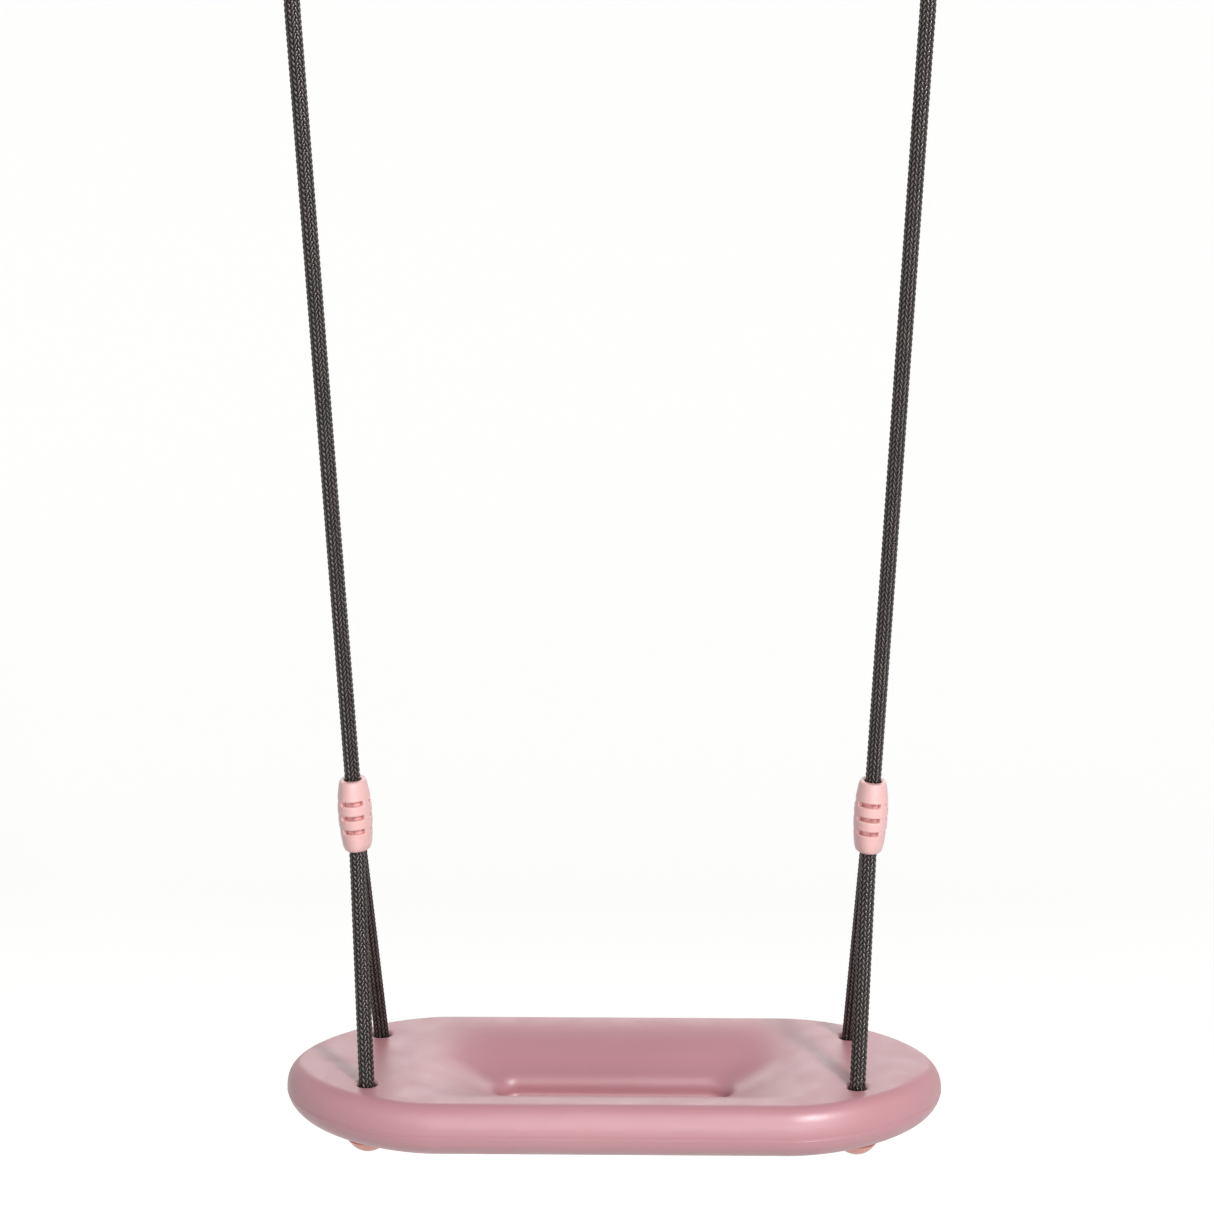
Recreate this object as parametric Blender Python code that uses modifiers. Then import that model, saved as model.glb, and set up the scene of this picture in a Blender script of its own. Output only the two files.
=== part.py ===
"""Plank swing: a hollow blow-moulded seat on four rope strands, with two rope clamps and two rings.

Units are metres, +X is the sitter's left to right as seen from the front, -Y is the front and +Z is up.
The origin is the middle of the hang line, which runs through the centres of the two rings.
"""

import math

import bmesh
import bpy
from mathutils import Vector

GAP = 0.0003

# Seat
SEAT_LENGTH = 0.430
SEAT_DEPTH = 0.180
SEAT_THICKNESS = 0.036
SEAT_WALL = 0.003
SEAT_TOP_Z = -0.850
RIM_WIDEST_DEPTH = 0.0175
RIM_INSET_TOP = 0.0120
RIM_INSET_BOTTOM = 0.0210
RIM_STEPS = 4
END_ROUNDING_LENGTH = 0.1027
END_ROUNDING_POWER = 1.76
OUTLINE_POINTS = 48
DISH_DEPTH = 0.030
DISH_HALF_WIDTH = 0.078
DISH_FADE = (0.066, 0.134)
DISH_FADE_SPREAD = (0.35, 0.15)
DISH_MIDDLE = 0.020
DISH_HALF_LENGTH = 0.140
FRONT_SLOPE = 0.42
FRONT_FLAT = 0.014
FRONT_BEND = 0.008
DISH_STEPS = (32, 20)
DISH_EDGE_DEPTH = 0.0004
DISH_WALL_RATIO = 1.15
POCKET_LENGTH = 0.156
POCKET_WIDTH = 0.036
POCKET_DEPTH = 0.0325
POCKET_CORNER_RADIUS = 0.015
VENT_RADIUS = 0.0035
VENT_X = 0.105

# Rope holes in the seat, and what sits in them
HOLE_X = 0.157
HOLE_Y = 0.0455
HOLE_RADIUS = 0.0057
HOLE_LENGTH = 0.012
HOLE_MOUTH_RADIUS = 0.0088
HOLE_MOUTH_DEPTH = 0.0032
COUNTERBORE_RADIUS = 0.0122
BOSS_RADIUS = COUNTERBORE_RADIUS + SEAT_WALL
WASHER_RADII = (0.0056, 0.0115)
WASHER_THICKNESS = 0.0015
KNOT_RADIUS = 0.0102
KNOT_HEIGHT = 0.0160
CAP_RADIUS = 0.0130
CAP_DOME_HEIGHT = 0.0086
CAP_WALL = 0.0015
CAP_SPIGOT_LENGTH = 0.0045

# Rope
ROPE_RADIUS = 0.005
ROPE_CLEARANCE_RADIUS = ROPE_RADIUS + GAP

# Rope line of one side: it leaves the middle of the hole and leans outward to the ring's centre
RING_X = 0.2026
HOLE_MIDDLE_DEPTH = 0.007
ROPE_LINE_RISE = HOLE_MIDDLE_DEPTH - SEAT_TOP_Z
LEAN = math.atan2(RING_X - HOLE_X, ROPE_LINE_RISE)
ROPE_LINE_LENGTH = math.hypot(RING_X - HOLE_X, ROPE_LINE_RISE)

# Rope clamp, in distances along the rope line from the hole
CLAMP_BOTTOM = 0.1515
CLAMP_LENGTH = 0.0460
CLAMP_EXTRA_DEPTH = 0.0046
CLAMP_PROFILE = (
    (0.0000, 0.0080),
    (0.0012, 0.0088),
    (0.0033, 0.0094),
    (0.0090, 0.0101),
    (0.0172, 0.0108),
    (0.0255, 0.0110),
    (0.0338, 0.0105),
    (0.0402, 0.0096),
    (0.0440, 0.0088),
    (0.0453, 0.0082),
    (0.0460, 0.0074),
)
CLAMP_BORE_RADII = (0.0072, 0.0119)
CLAMP_LIP_LENGTH = 0.0040
CLAMP_LIP_RADIUS = 0.0056
CORE_RADII = (0.0069, 0.0116)
CORE_LENGTH = 0.0400
FRONT_SLOT_HEIGHT = 0.0033
SIDE_SLOT_HEIGHT = 0.0031
SLOT_PITCH = 0.0093
FRONT_SLOT_WIDTH = 0.0150
SIDE_SLOT_WIDTH = 0.0110

# Ring, thimble and ferrule at the top, in distances down the rope line from the ring's centre
RING_RADIUS = 0.024
RING_WIRE_RADIUS = 0.004
THIMBLE_DROP = 0.0302
THIMBLE_BORE_RADIUS = 0.0120
THIMBLE_RADIUS = 0.0225
THIMBLE_WIDTH = 0.0156
THIMBLE_GROOVE_RADIUS = 0.0061
EYE_RADIUS = 0.0213
FERRULE_TOP = 0.0840
FERRULE_LENGTH = 0.0260
FERRULE_RADII = (0.0144, 0.0086)
FERRULE_BORE_RADII = (0.0118, 0.0062)
FERRULE_BORE_FLARE = 0.0016

# Routes of the ropes as (across, front to back, along) the rope line of one side, from the knot upward.
# Front and back are mirrored for the rear strand, and across is mirrored for the left side.
STRAND_ROUTE = (
    (0.0, -0.0455, -0.0078),
    (0.0, -0.0455, -0.0020),
    (0.0, -0.0449, 0.0075),
    (0.0, -0.0436, 0.0130),
    (0.0, -0.0373, 0.0360),
    (0.0, -0.0262, 0.0760),
    (0.0, -0.0150, 0.1160),
    (0.0, -0.0093, 0.1360),
    (0.0, -0.0066, 0.1460),
    (0.0, -0.0054, 0.1530),
    (0.0, -0.0052, 0.1600),
)
MAIN_ROUTE_ABOVE_CLAMP = (
    (0.0, -0.0050, 0.1665),
    (0.0, -0.0038, 0.1728),
    (0.0, -0.0019, 0.1792),
    (0.0, -0.0005, 0.1855),
    (0.0, 0.0, 0.1920),
    (0.0, 0.0, 0.2200),
    (0.0, 0.0, 0.3000),
    (0.0, 0.0, 0.4200),
    (0.0, 0.0, 0.5500),
    (0.0, 0.0, 0.6600),
    (0.0, 0.0, 0.6850),
    (-0.0006, 0.0, 0.7020),
    (-0.0025, 0.0, 0.7200),
    (-0.0044, 0.0, 0.7370),
    (-0.0052, 0.0, 0.7520),
    (-0.0052, 0.0, 0.7620),
)
TAIL_END = (0.0, -0.0052, 0.1668)
EYE_LEG_ROUTE = (
    (-0.0057, 0.0, 0.7700),
    (-0.0078, 0.0, 0.7800),
    (-0.0118, 0.0, 0.7900),
    (-0.0160, 0.0, 0.7985),
)
EYE_HALF_TURN = math.radians(122)
EYE_STEPS = 6
STUB_ROUTE = (
    (0.0052, 0.0, 0.7620),
    (0.0052, 0.0, 0.7500),
    (0.0052, 0.0, 0.7400),
)
CURVE_STEPS = 2

PINK = (0.58, 0.24, 0.27, 1.0)
PALE_PINK = (0.82, 0.50, 0.50, 1.0)
PEACH = (0.76, 0.36, 0.30, 1.0)
CHARCOAL = (0.045, 0.038, 0.036, 1.0)
STEEL = (0.55, 0.56, 0.58, 1.0)
BLACK_PLASTIC = (0.03, 0.03, 0.032, 1.0)


def clear_scene():
    for obj in list(bpy.data.objects):
        bpy.data.objects.remove(obj, do_unlink=True)


def new_collection(name):
    collection = bpy.data.collections.new(name)
    bpy.context.scene.collection.children.link(collection)
    return collection


def new_material(name, colour, roughness, metallic=0.0):
    material = bpy.data.materials.new(name)
    material.use_nodes = True
    shader = material.node_tree.nodes["Principled BSDF"]
    shader.inputs["Base Color"].default_value = colour
    shader.inputs["Roughness"].default_value = roughness
    shader.inputs["Metallic"].default_value = metallic
    return material


clear_scene()
SWING = new_collection("plank_swing")
CUTTERS = new_collection("cutters")
SEAT_PLASTIC = new_material("seat_plastic", PINK, 0.42)
CLAMP_PLASTIC = new_material("clamp_plastic", PALE_PINK, 0.38)
CAP_PLASTIC = new_material("cap_plastic", PEACH, 0.40)
ROPE_YARN = new_material("rope_yarn", CHARCOAL, 0.62)
ZINC_STEEL = new_material("zinc_steel", STEEL, 0.30, 1.0)
THIMBLE_PLASTIC = new_material("thimble_plastic", BLACK_PLASTIC, 0.45)


def add_object(name, data, collection, material=None):
    obj = bpy.data.objects.new(name, data)
    collection.objects.link(obj)
    if material:
        data.materials.clear()
        data.materials.append(material)
    if collection is CUTTERS:
        obj.hide_render = True
        obj.display_type = "WIRE"
    return obj


def mesh_object(name, bm, collection, material=None):
    mesh = bpy.data.meshes.new(name)
    bm.to_mesh(mesh)
    bm.free()
    return add_object(name, mesh, collection, material)


def smooth(obj, angle=math.radians(40)):
    obj.data.shade_smooth()
    obj.data.set_sharp_from_angle(angle=angle)


def place(obj, parent, location=(0.0, 0.0, 0.0), rotation=(0.0, 0.0, 0.0)):
    obj.parent = parent
    obj.location = location
    obj.rotation_euler = rotation
    return obj


def cut(obj, cutter, solver="EXACT"):
    modifier = obj.modifiers.new(cutter.name, "BOOLEAN")
    modifier.operation = "DIFFERENCE"
    modifier.solver = solver
    modifier.object = cutter


def box(name, size, centre=(0.0, 0.0, 0.0)):
    """A cutter."""
    bm = bmesh.new()
    bmesh.ops.create_cube(bm, size=1.0)
    bmesh.ops.scale(bm, vec=size, verts=bm.verts)
    bmesh.ops.translate(bm, vec=centre, verts=bm.verts)
    return mesh_object(name, bm, CUTTERS)


def cylinder(name, radius, length, top_z, radius_top=None, segments=20):
    """A cutter about Z, from top_z down by length."""
    bm = bmesh.new()
    bmesh.ops.create_cone(
        bm,
        cap_ends=True,
        segments=segments,
        radius1=radius,
        radius2=radius if radius_top is None else radius_top,
        depth=length,
    )
    bmesh.ops.translate(bm, vec=(0.0, 0.0, top_z - length / 2), verts=bm.verts)
    return mesh_object(name, bm, CUTTERS)


def turned(name, profile, collection, material=None, closed=False, steps=20):
    """A Screw about Z of (radius, z) points that run down the outer side."""
    bm = bmesh.new()
    points = [bm.verts.new((radius, 0.0, z)) for radius, z in profile]
    for first, second in zip(points, points[1:]):
        bm.edges.new((first, second))
    if closed:
        bm.edges.new((points[-1], points[0]))
    obj = mesh_object(name, bm, collection, material)
    screw = obj.modifiers.new("turn", "SCREW")
    screw.steps = steps
    screw.render_steps = steps
    screw.use_merge_vertices = True
    screw.merge_threshold = 0.00001
    screw.use_smooth_shade = True
    return obj


def loft(name, sections, collection, material=None, segments=24):
    """A closed solid through elliptical sections (z, radius along X, radius along Y), lowest first."""
    bm = bmesh.new()
    rings = []
    for z, across, along in sections:
        angles = [2 * math.pi * step / segments for step in range(segments)]
        rings.append([bm.verts.new((across * math.cos(a), along * math.sin(a), z)) for a in angles])
    for lower, upper in zip(rings, rings[1:]):
        for step in range(segments):
            after = (step + 1) % segments
            bm.faces.new((lower[step], lower[after], upper[after], upper[step]))
    bm.faces.new(reversed(rings[0]))
    bm.faces.new(rings[-1])
    return mesh_object(name, bm, collection, material)


def signed_power(value, power):
    return math.copysign(abs(value) ** power, value)


def outline(inset):
    """Points of the seat's plan: straight sides and superelliptic ends, moved inward by inset."""
    straight = SEAT_LENGTH / 2 - END_ROUNDING_LENGTH
    half_depth = SEAT_DEPTH / 2 - inset
    end = END_ROUNDING_LENGTH - inset
    points = []
    for step in range(OUTLINE_POINTS):
        angle = 2 * math.pi * (step + 0.5) / OUTLINE_POINTS
        x = signed_power(math.cos(angle), 2 / END_ROUNDING_POWER)
        y = signed_power(math.sin(angle), 2 / END_ROUNDING_POWER)
        points.append((math.copysign(straight, x) + end * x, half_depth * y))
    return points


def plank(name, wall, collection, material=None):
    """The seat's plan lofted down its rim, whose edge swells to mid-height; wall insets it all round."""
    upper = RIM_WIDEST_DEPTH - wall
    lower = SEAT_THICKNESS - RIM_WIDEST_DEPTH - wall
    sections = []
    for step in range(2 * RIM_STEPS + 1):
        angle = math.pi / 2 * (1 - step / RIM_STEPS)
        height = upper if angle > 0 else lower
        inset = (RIM_INSET_TOP if angle > 0 else RIM_INSET_BOTTOM) * (1 - math.cos(angle))
        sections.append((height * math.sin(angle) - RIM_WIDEST_DEPTH, wall + inset))
    bm = bmesh.new()
    rings = [[bm.verts.new((x, y, z)) for x, y in outline(inset)] for z, inset in sections]
    for above, below in zip(rings, rings[1:]):
        for step in range(OUTLINE_POINTS):
            after = (step + 1) % OUTLINE_POINTS
            bm.faces.new((below[step], below[after], above[after], above[step]))
    bm.faces.new(rings[0])
    bm.faces.new(reversed(rings[-1]))
    obj = mesh_object(name, bm, collection, material)
    smooth(obj)
    return obj


def solid_from_curve(name, curve, collection, material=None):
    """The mesh of a curve with its caps welded on, as a Boolean needs it."""
    guide = bpy.data.objects.new(name + "_guide", curve)
    bpy.context.scene.collection.objects.link(guide)
    bpy.context.view_layer.update()
    evaluated = guide.evaluated_get(bpy.context.evaluated_depsgraph_get())
    mesh = bpy.data.meshes.new_from_object(evaluated)
    mesh.name = name
    bm = bmesh.new()
    bm.from_mesh(mesh)
    bmesh.ops.remove_doubles(bm, verts=bm.verts, dist=0.000001)
    bmesh.ops.recalc_face_normals(bm, faces=bm.faces)
    bm.to_mesh(mesh)
    bm.free()
    obj = add_object(name, mesh, collection, material)
    obj.matrix_world = guide.matrix_world
    bpy.data.objects.remove(guide, do_unlink=True)
    return obj


def smooth_route(points):
    """A Catmull-Rom curve through the points, each stretch cut in CURVE_STEPS."""
    ends = [points[0] * 2 - points[1], *points, points[-1] * 2 - points[-2]]
    route = []
    for before, start, end, after in zip(ends, ends[1:], ends[2:], ends[3:]):
        length = (end - start).length
        slope_in = (end - before) * (length / ((end - start).length + (start - before).length))
        slope_out = (after - start) * (length / ((after - end).length + (end - start).length))
        for step in range(CURVE_STEPS):
            t = step / CURVE_STEPS
            route.append(
                start * (2 * t**3 - 3 * t**2 + 1)
                + slope_in * (t**3 - 2 * t**2 + t)
                + end * (3 * t**2 - 2 * t**3)
                + slope_out * (t**3 - t**2)
            )
    route.append(points[-1])
    return route


def eye_points():
    """The route's points round the thimble, from the standing leg to the stub's leg."""
    centre = ROPE_LINE_LENGTH - THIMBLE_DROP
    points = []
    for step in range(EYE_STEPS + 1):
        angle = EYE_HALF_TURN * (1 - 2 * step / EYE_STEPS)
        points.append((-EYE_RADIUS * math.sin(angle), 0.0, centre + EYE_RADIUS * math.cos(angle)))
    return points


def mirrored(points, side, front):
    """Vectors of route points for one side (-1 left, 1 right) and one strand (1 front, -1 rear)."""
    return [Vector((side * across, front * depth, along)) for across, depth, along in points]


def main_route(side):
    leg_back = [(-across, depth, along) for across, depth, along in reversed(EYE_LEG_ROUTE)]
    below_eye = [*STRAND_ROUTE, *MAIN_ROUTE_ABOVE_CLAMP, *EYE_LEG_ROUTE]
    return smooth_route(mirrored([*below_eye, *eye_points(), *leg_back, *STUB_ROUTE], side, 1))


def tail_route(side):
    return smooth_route(mirrored([*STRAND_ROUTE, TAIL_END], side, -1))


def tube(name, route, radius):
    curve = bpy.data.curves.new(name, "CURVE")
    curve.dimensions = "3D"
    curve.bevel_depth = radius
    curve.bevel_resolution = 2
    curve.use_fill_caps = True
    spline = curve.splines.new("POLY")
    spline.points.add(len(route) - 1)
    for point, place_on_route in zip(spline.points, route):
        point.co = (*place_on_route, 1.0)
    return curve


def rope(name, route, frame):
    curve = tube(name, route, ROPE_RADIUS)
    place(add_object(name, curve, SWING, ROPE_YARN), frame)


def rope_cutter(name, route, frame):
    curve = tube(name, route, ROPE_CLEARANCE_RADIUS)
    return place(solid_from_curve(name, curve, CUTTERS), frame)


def make_seat(pivot):
    """A hollow shell with a dished top, a pocket fused to the underside and four bosses for the ropes."""
    top = (0.0, 0.0, SEAT_TOP_Z)
    seat = place(plank("seat", 0.0, SWING, SEAT_PLASTIC), pivot, top)
    hollow = place(plank("seat_hollow", SEAT_WALL, CUTTERS), pivot, top)
    for obj, grown in ((seat, 0.0), (hollow, SEAT_WALL)):
        label = obj.name
        cut(obj, place(dish(label + "_dish", grown), pivot, top))
        cut(obj, place(pocket(label + "_pocket", grown), pivot, top))
    for x, y in rope_holes():
        boss = cylinder("seat_boss", BOSS_RADIUS, SEAT_THICKNESS + 0.01, 0.005)
        cut(hollow, place(boss, pivot, (x, y, SEAT_TOP_Z)))
    cut(seat, hollow)
    mouth_top = 0.001
    mouth_spread = (HOLE_MOUTH_RADIUS - HOLE_RADIUS) * mouth_top / HOLE_MOUTH_DEPTH
    for x, y in rope_holes():
        hole = cylinder("rope_hole", HOLE_RADIUS, HOLE_LENGTH + 0.006, 0.003)
        mouth = cylinder(
            "rope_hole_mouth",
            HOLE_RADIUS,
            HOLE_MOUTH_DEPTH + mouth_top,
            mouth_top,
            radius_top=HOLE_MOUTH_RADIUS + mouth_spread,
        )
        counterbore = cylinder("counterbore", COUNTERBORE_RADIUS, SEAT_THICKNESS, -HOLE_LENGTH)
        for cutter in (hole, mouth, counterbore):
            cut(seat, place(cutter, pivot, (x, y, SEAT_TOP_Z)))
    vent = cylinder("vent_hole", VENT_RADIUS, 3 * SEAT_WALL, 2 * SEAT_WALL - SEAT_THICKNESS, segments=16)
    cut(seat, place(vent, pivot, (VENT_X, 0.0, SEAT_TOP_Z)))


def smoothstep(low, high, value):
    share = min(max((value - low) / (high - low), 0.0), 1.0)
    return share * share * (3 - 2 * share)


def rear_dish(y):
    """Depth of the rear half, from the rim's crest inward: it steepens toward the pocket."""
    return DISH_DEPTH * max(1 - y / DISH_HALF_WIDTH, 0.0) ** 2


def front_dish(y):
    """Depth of the front half: a flat strip behind the rim's crest, then an even slope."""

    def ramp(inward):
        return (math.hypot(inward - FRONT_FLAT, FRONT_BEND) + inward - FRONT_FLAT) / 2

    return FRONT_SLOPE * (ramp(max(DISH_HALF_WIDTH - y, 0.0)) - ramp(0.0))


def rounded_middle(depth, y):
    """The depth with its crease along the seat's middle rounded to a parabola."""
    if y > DISH_MIDDLE:
        return depth(y)
    step = 0.0001
    slope = (depth(DISH_MIDDLE) - depth(DISH_MIDDLE + step)) / step
    return depth(DISH_MIDDLE) + slope / (2 * DISH_MIDDLE) * (DISH_MIDDLE**2 - y**2)


def dish_depth(x, y):
    """Depth of the dished top, which fades out toward the seat's ends along a slanting border."""
    rear = smoothstep(-DISH_MIDDLE, DISH_MIDDLE, y)
    across = rounded_middle(rear_dish, abs(y)) * rear + rounded_middle(front_dish, abs(y)) * (1 - rear)
    outward = y**2 / DISH_HALF_WIDTH
    start, end = (edge + spread * outward for edge, spread in zip(DISH_FADE, DISH_FADE_SPREAD))
    return across * (1 - smoothstep(start, end, abs(x)))


def dish(name, grown):
    """The space over the dished top, a grid of columns from the dish up past the seat's top."""
    along, across = DISH_STEPS
    bm = bmesh.new()
    layers = []
    for is_top in (False, True):
        rows = []
        for row in range(across + 1):
            y = DISH_HALF_WIDTH * (2 * row / across - 1)
            points = []
            for step in range(along + 1):
                x = DISH_HALF_LENGTH * (2 * step / along - 1)
                z = 0.01 if is_top else DISH_EDGE_DEPTH - dish_depth(x, y) - DISH_WALL_RATIO * grown
                points.append(bm.verts.new((x, y, z)))
            rows.append(points)
        layers.append(rows)
    for rows in layers:
        for row, after in zip(rows, rows[1:]):
            for step in range(along):
                bm.faces.new((row[step], row[step + 1], after[step + 1], after[step]))
    low, high = layers
    rims = (
        (low[0], high[0]),
        (low[-1], high[-1]),
        ([row[0] for row in low], [row[0] for row in high]),
        ([row[-1] for row in low], [row[-1] for row in high]),
    )
    for below, above in rims:
        for step in range(len(below) - 1):
            bm.faces.new((below[step], below[step + 1], above[step + 1], above[step]))
    bmesh.ops.recalc_face_normals(bm, faces=bm.faces)
    return mesh_object(name, bm, CUTTERS)


def pocket(name, grown):
    height = 2 * (POCKET_DEPTH + grown)
    obj = box(name, (POCKET_LENGTH + 2 * grown, POCKET_WIDTH + 2 * grown, height))
    bm = bmesh.new()
    bm.from_mesh(obj.data)
    upright = [edge for edge in bm.edges if abs(edge.verts[0].co.z - edge.verts[1].co.z) > height / 2]
    bmesh.ops.bevel(
        bm,
        geom=upright,
        offset=POCKET_CORNER_RADIUS + grown,
        segments=5,
        profile=0.5,
        affect="EDGES",
    )
    bm.to_mesh(obj.data)
    bm.free()
    return obj


def rope_holes():
    return [(x, y) for x in (-HOLE_X, HOLE_X) for y in (-HOLE_Y, HOLE_Y)]


def make_hole_fittings(pivot):
    """The washer, knot and domed cap that hold each strand in the seat's underside."""
    for x, y in rope_holes():
        where = ("front" if y < 0 else "rear") + ("_left" if x < 0 else "_right")
        washer_top = -HOLE_LENGTH - GAP
        knot_top = washer_top - WASHER_THICKNESS - 2 * GAP - 0.0009
        inner, outer = WASHER_RADII
        washer = turned(
            "knot_washer_" + where,
            (
                (outer, washer_top),
                (outer, washer_top - WASHER_THICKNESS),
                (inner, washer_top - WASHER_THICKNESS),
                (inner, washer_top),
            ),
            SWING,
            ZINC_STEEL,
            closed=True,
        )
        for piece in (washer, knot("rope_knot_" + where, knot_top), cap("knot_cap_" + where)):
            place(piece, pivot, (x, y, SEAT_TOP_Z))


def knot(name, top_z):
    bm = bmesh.new()
    bmesh.ops.create_uvsphere(bm, u_segments=12, v_segments=8, radius=1.0)
    bmesh.ops.scale(bm, vec=(KNOT_RADIUS, KNOT_RADIUS, KNOT_HEIGHT / 2), verts=bm.verts)
    bmesh.ops.translate(bm, vec=(0.0, 0.0, top_z - KNOT_HEIGHT / 2), verts=bm.verts)
    obj = mesh_object(name, bm, SWING, ROPE_YARN)
    smooth(obj)
    return obj


def dome_arc(radius, height, base_z, points=4):
    """Points of a spherical cap from its base edge down to the axis."""
    ball = (radius**2 + height**2) / (2 * height)
    spread = math.asin(radius / ball)
    arc = []
    for step in range(points + 1):
        angle = spread * (1 - step / points)
        arc.append((ball * math.sin(angle), base_z - height + ball * (1 - math.cos(angle))))
    return arc


def cap(name):
    """A domed plug: its spigot sits in the counterbore and its dome shows below the seat."""
    base = -SEAT_THICKNESS - 2 * GAP
    spigot_outer = COUNTERBORE_RADIUS - GAP
    spigot_inner = spigot_outer - CAP_WALL
    inside = dome_arc(spigot_inner, CAP_DOME_HEIGHT - 2 * CAP_WALL, base - CAP_WALL)
    outside = dome_arc(CAP_RADIUS, CAP_DOME_HEIGHT, base)
    profile = [
        *reversed(inside),
        (spigot_inner, base + CAP_SPIGOT_LENGTH),
        (spigot_outer, base + CAP_SPIGOT_LENGTH),
        (spigot_outer, base),
        *outside,
    ]
    return turned(name, profile, SWING, CAP_PLASTIC)


def make_clamp(label, frame, main_space, tail_space):
    """The slotted sleeve, which slides up the rope, over two core halves that grip both ropes."""
    sections = [(z, radius, radius + CLAMP_EXTRA_DEPTH) for z, radius in CLAMP_PROFILE]
    sleeve = loft("clamp_sleeve_" + label, sections, SWING, CLAMP_PLASTIC)
    smooth(sleeve)
    place(sleeve, frame, (0.0, 0.0, CLAMP_BOTTOM))
    bore_top = CLAMP_LENGTH - CLAMP_LIP_LENGTH
    bore_ends = [(z, *CLAMP_BORE_RADII) for z in (-0.005, bore_top)]
    bore = loft("clamp_bore_" + label, bore_ends, CUTTERS, segments=28)
    lip = cylinder("clamp_lip_" + label, CLAMP_LIP_RADIUS, 0.015, CLAMP_LENGTH + 0.005)
    for cutter in (bore, lip):
        cut(sleeve, place(cutter, frame, (0.0, 0.0, CLAMP_BOTTOM)), "MANIFOLD")
    for row in (-1, 0, 1):
        height = CLAMP_LENGTH / 2 + row * SLOT_PITCH
        wide = box("front_slot", (FRONT_SLOT_WIDTH, 0.05, FRONT_SLOT_HEIGHT))
        side = box("side_slot", (0.05, SIDE_SLOT_WIDTH, SIDE_SLOT_HEIGHT))
        for cutter in (wide, side):
            cut(sleeve, place(cutter, frame, (0.0, 0.0, CLAMP_BOTTOM + height)), "MANIFOLD")
    for half, direction in (("outer", 1), ("inner", -1)):
        sections = [(z, *CORE_RADII) for z in (0.0, CORE_LENGTH)]
        core = loft(f"clamp_core_{half}_{label}", sections, SWING, CLAMP_PLASTIC)
        smooth(core)
        place(core, frame, (0.0, 0.0, CLAMP_BOTTOM + 0.001))
        far_half = box("core_split", (0.04, 0.04, 0.08), centre=(-direction * (0.02 - GAP / 2), 0.0, 0.03))
        cut(core, place(far_half, frame, (0.0, 0.0, CLAMP_BOTTOM)))
        cut(core, main_space)
        cut(core, tail_space)


def make_ring(label, side):
    """A welded steel ring whose hole faces sideways, with its centre on the hang line."""
    bpy.ops.mesh.primitive_torus_add(
        major_radius=RING_RADIUS,
        minor_radius=RING_WIRE_RADIUS,
        major_segments=28,
        minor_segments=8,
        location=(side * RING_X, 0.0, 0.0),
        rotation=(0.0, math.pi / 2, 0.0),
    )
    ring = bpy.context.object
    ring.name = "hanging_ring_" + label
    ring.data.materials.append(ZINC_STEEL)
    for collection in list(ring.users_collection):
        collection.objects.unlink(ring)
    SWING.objects.link(ring)
    ring.data.shade_smooth()


def make_thimble(label, frame):
    """A round grooved eyelet that the rope's eye runs over."""
    half = THIMBLE_WIDTH / 2
    flange_gap = math.sqrt(THIMBLE_GROOVE_RADIUS**2 - (EYE_RADIUS - THIMBLE_RADIUS) ** 2)
    start = math.atan2(flange_gap, THIMBLE_RADIUS - EYE_RADIUS)
    groove = []
    for step in range(7):
        angle = start + (2 * math.pi - 2 * start) * step / 6
        groove.append(
            (
                EYE_RADIUS + THIMBLE_GROOVE_RADIUS * math.cos(angle),
                THIMBLE_GROOVE_RADIUS * math.sin(angle),
            )
        )
    profile = [
        (THIMBLE_RADIUS, half),
        *groove,
        (THIMBLE_RADIUS, -half),
        (THIMBLE_BORE_RADIUS, -half),
        (THIMBLE_BORE_RADIUS, half),
    ]
    thimble = turned("rope_thimble_" + label, profile, SWING, THIMBLE_PLASTIC, closed=True, steps=28)
    place(thimble, frame, (0.0, 0.0, ROPE_LINE_LENGTH - THIMBLE_DROP), (math.pi / 2, 0.0, 0.0))


def make_ferrule(label, frame):
    """An oval sleeve pressed round both legs of the eye."""
    edge = 0.0012
    ends = ((0.0, edge), (edge, 0.0), (FERRULE_LENGTH - edge, 0.0), (FERRULE_LENGTH, edge))
    across, along = FERRULE_RADII
    sections = [(z, across - inset, along - inset) for z, inset in ends]
    ferrule = loft("eye_ferrule_" + label, sections, SWING, ZINC_STEEL)
    smooth(ferrule)
    across, along = FERRULE_BORE_RADII
    flares = ((-0.005, 0.0), (0.018, 0.0), (FERRULE_LENGTH + 0.005, FERRULE_BORE_FLARE))
    bore = loft("ferrule_bore_" + label, [(z, across + flare, along) for z, flare in flares], CUTTERS)
    for obj in (ferrule, bore):
        place(obj, frame, (0.0, 0.0, ROPE_LINE_LENGTH - FERRULE_TOP - FERRULE_LENGTH))
    cut(ferrule, bore)


def make_side(label, side, pivot):
    frame = bpy.data.objects.new("rope_line_" + label, None)
    SWING.objects.link(frame)
    place(frame, pivot, (side * HOLE_X, 0.0, SEAT_TOP_Z - HOLE_MIDDLE_DEPTH), (0.0, side * LEAN, 0.0))
    rope("main_rope_" + label, main_route(side), frame)
    rope("tail_rope_" + label, tail_route(side), frame)
    clamped_route = smooth_route(mirrored([*STRAND_ROUTE, *MAIN_ROUTE_ABOVE_CLAMP[:7]], side, 1))
    main_space = rope_cutter("main_rope_space_" + label, clamped_route, frame)
    tail_space = rope_cutter("tail_rope_space_" + label, tail_route(side), frame)
    make_clamp(label, frame, main_space, tail_space)
    make_thimble(label, frame)
    make_ferrule(label, frame)
    make_ring(label, side)


def main():
    pivot = bpy.data.objects.new("swing_pivot", None)
    SWING.objects.link(pivot)
    make_seat(pivot)
    make_hole_fittings(pivot)
    for label, side in (("left", -1), ("right", 1)):
        make_side(label, side, pivot)


main()
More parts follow.
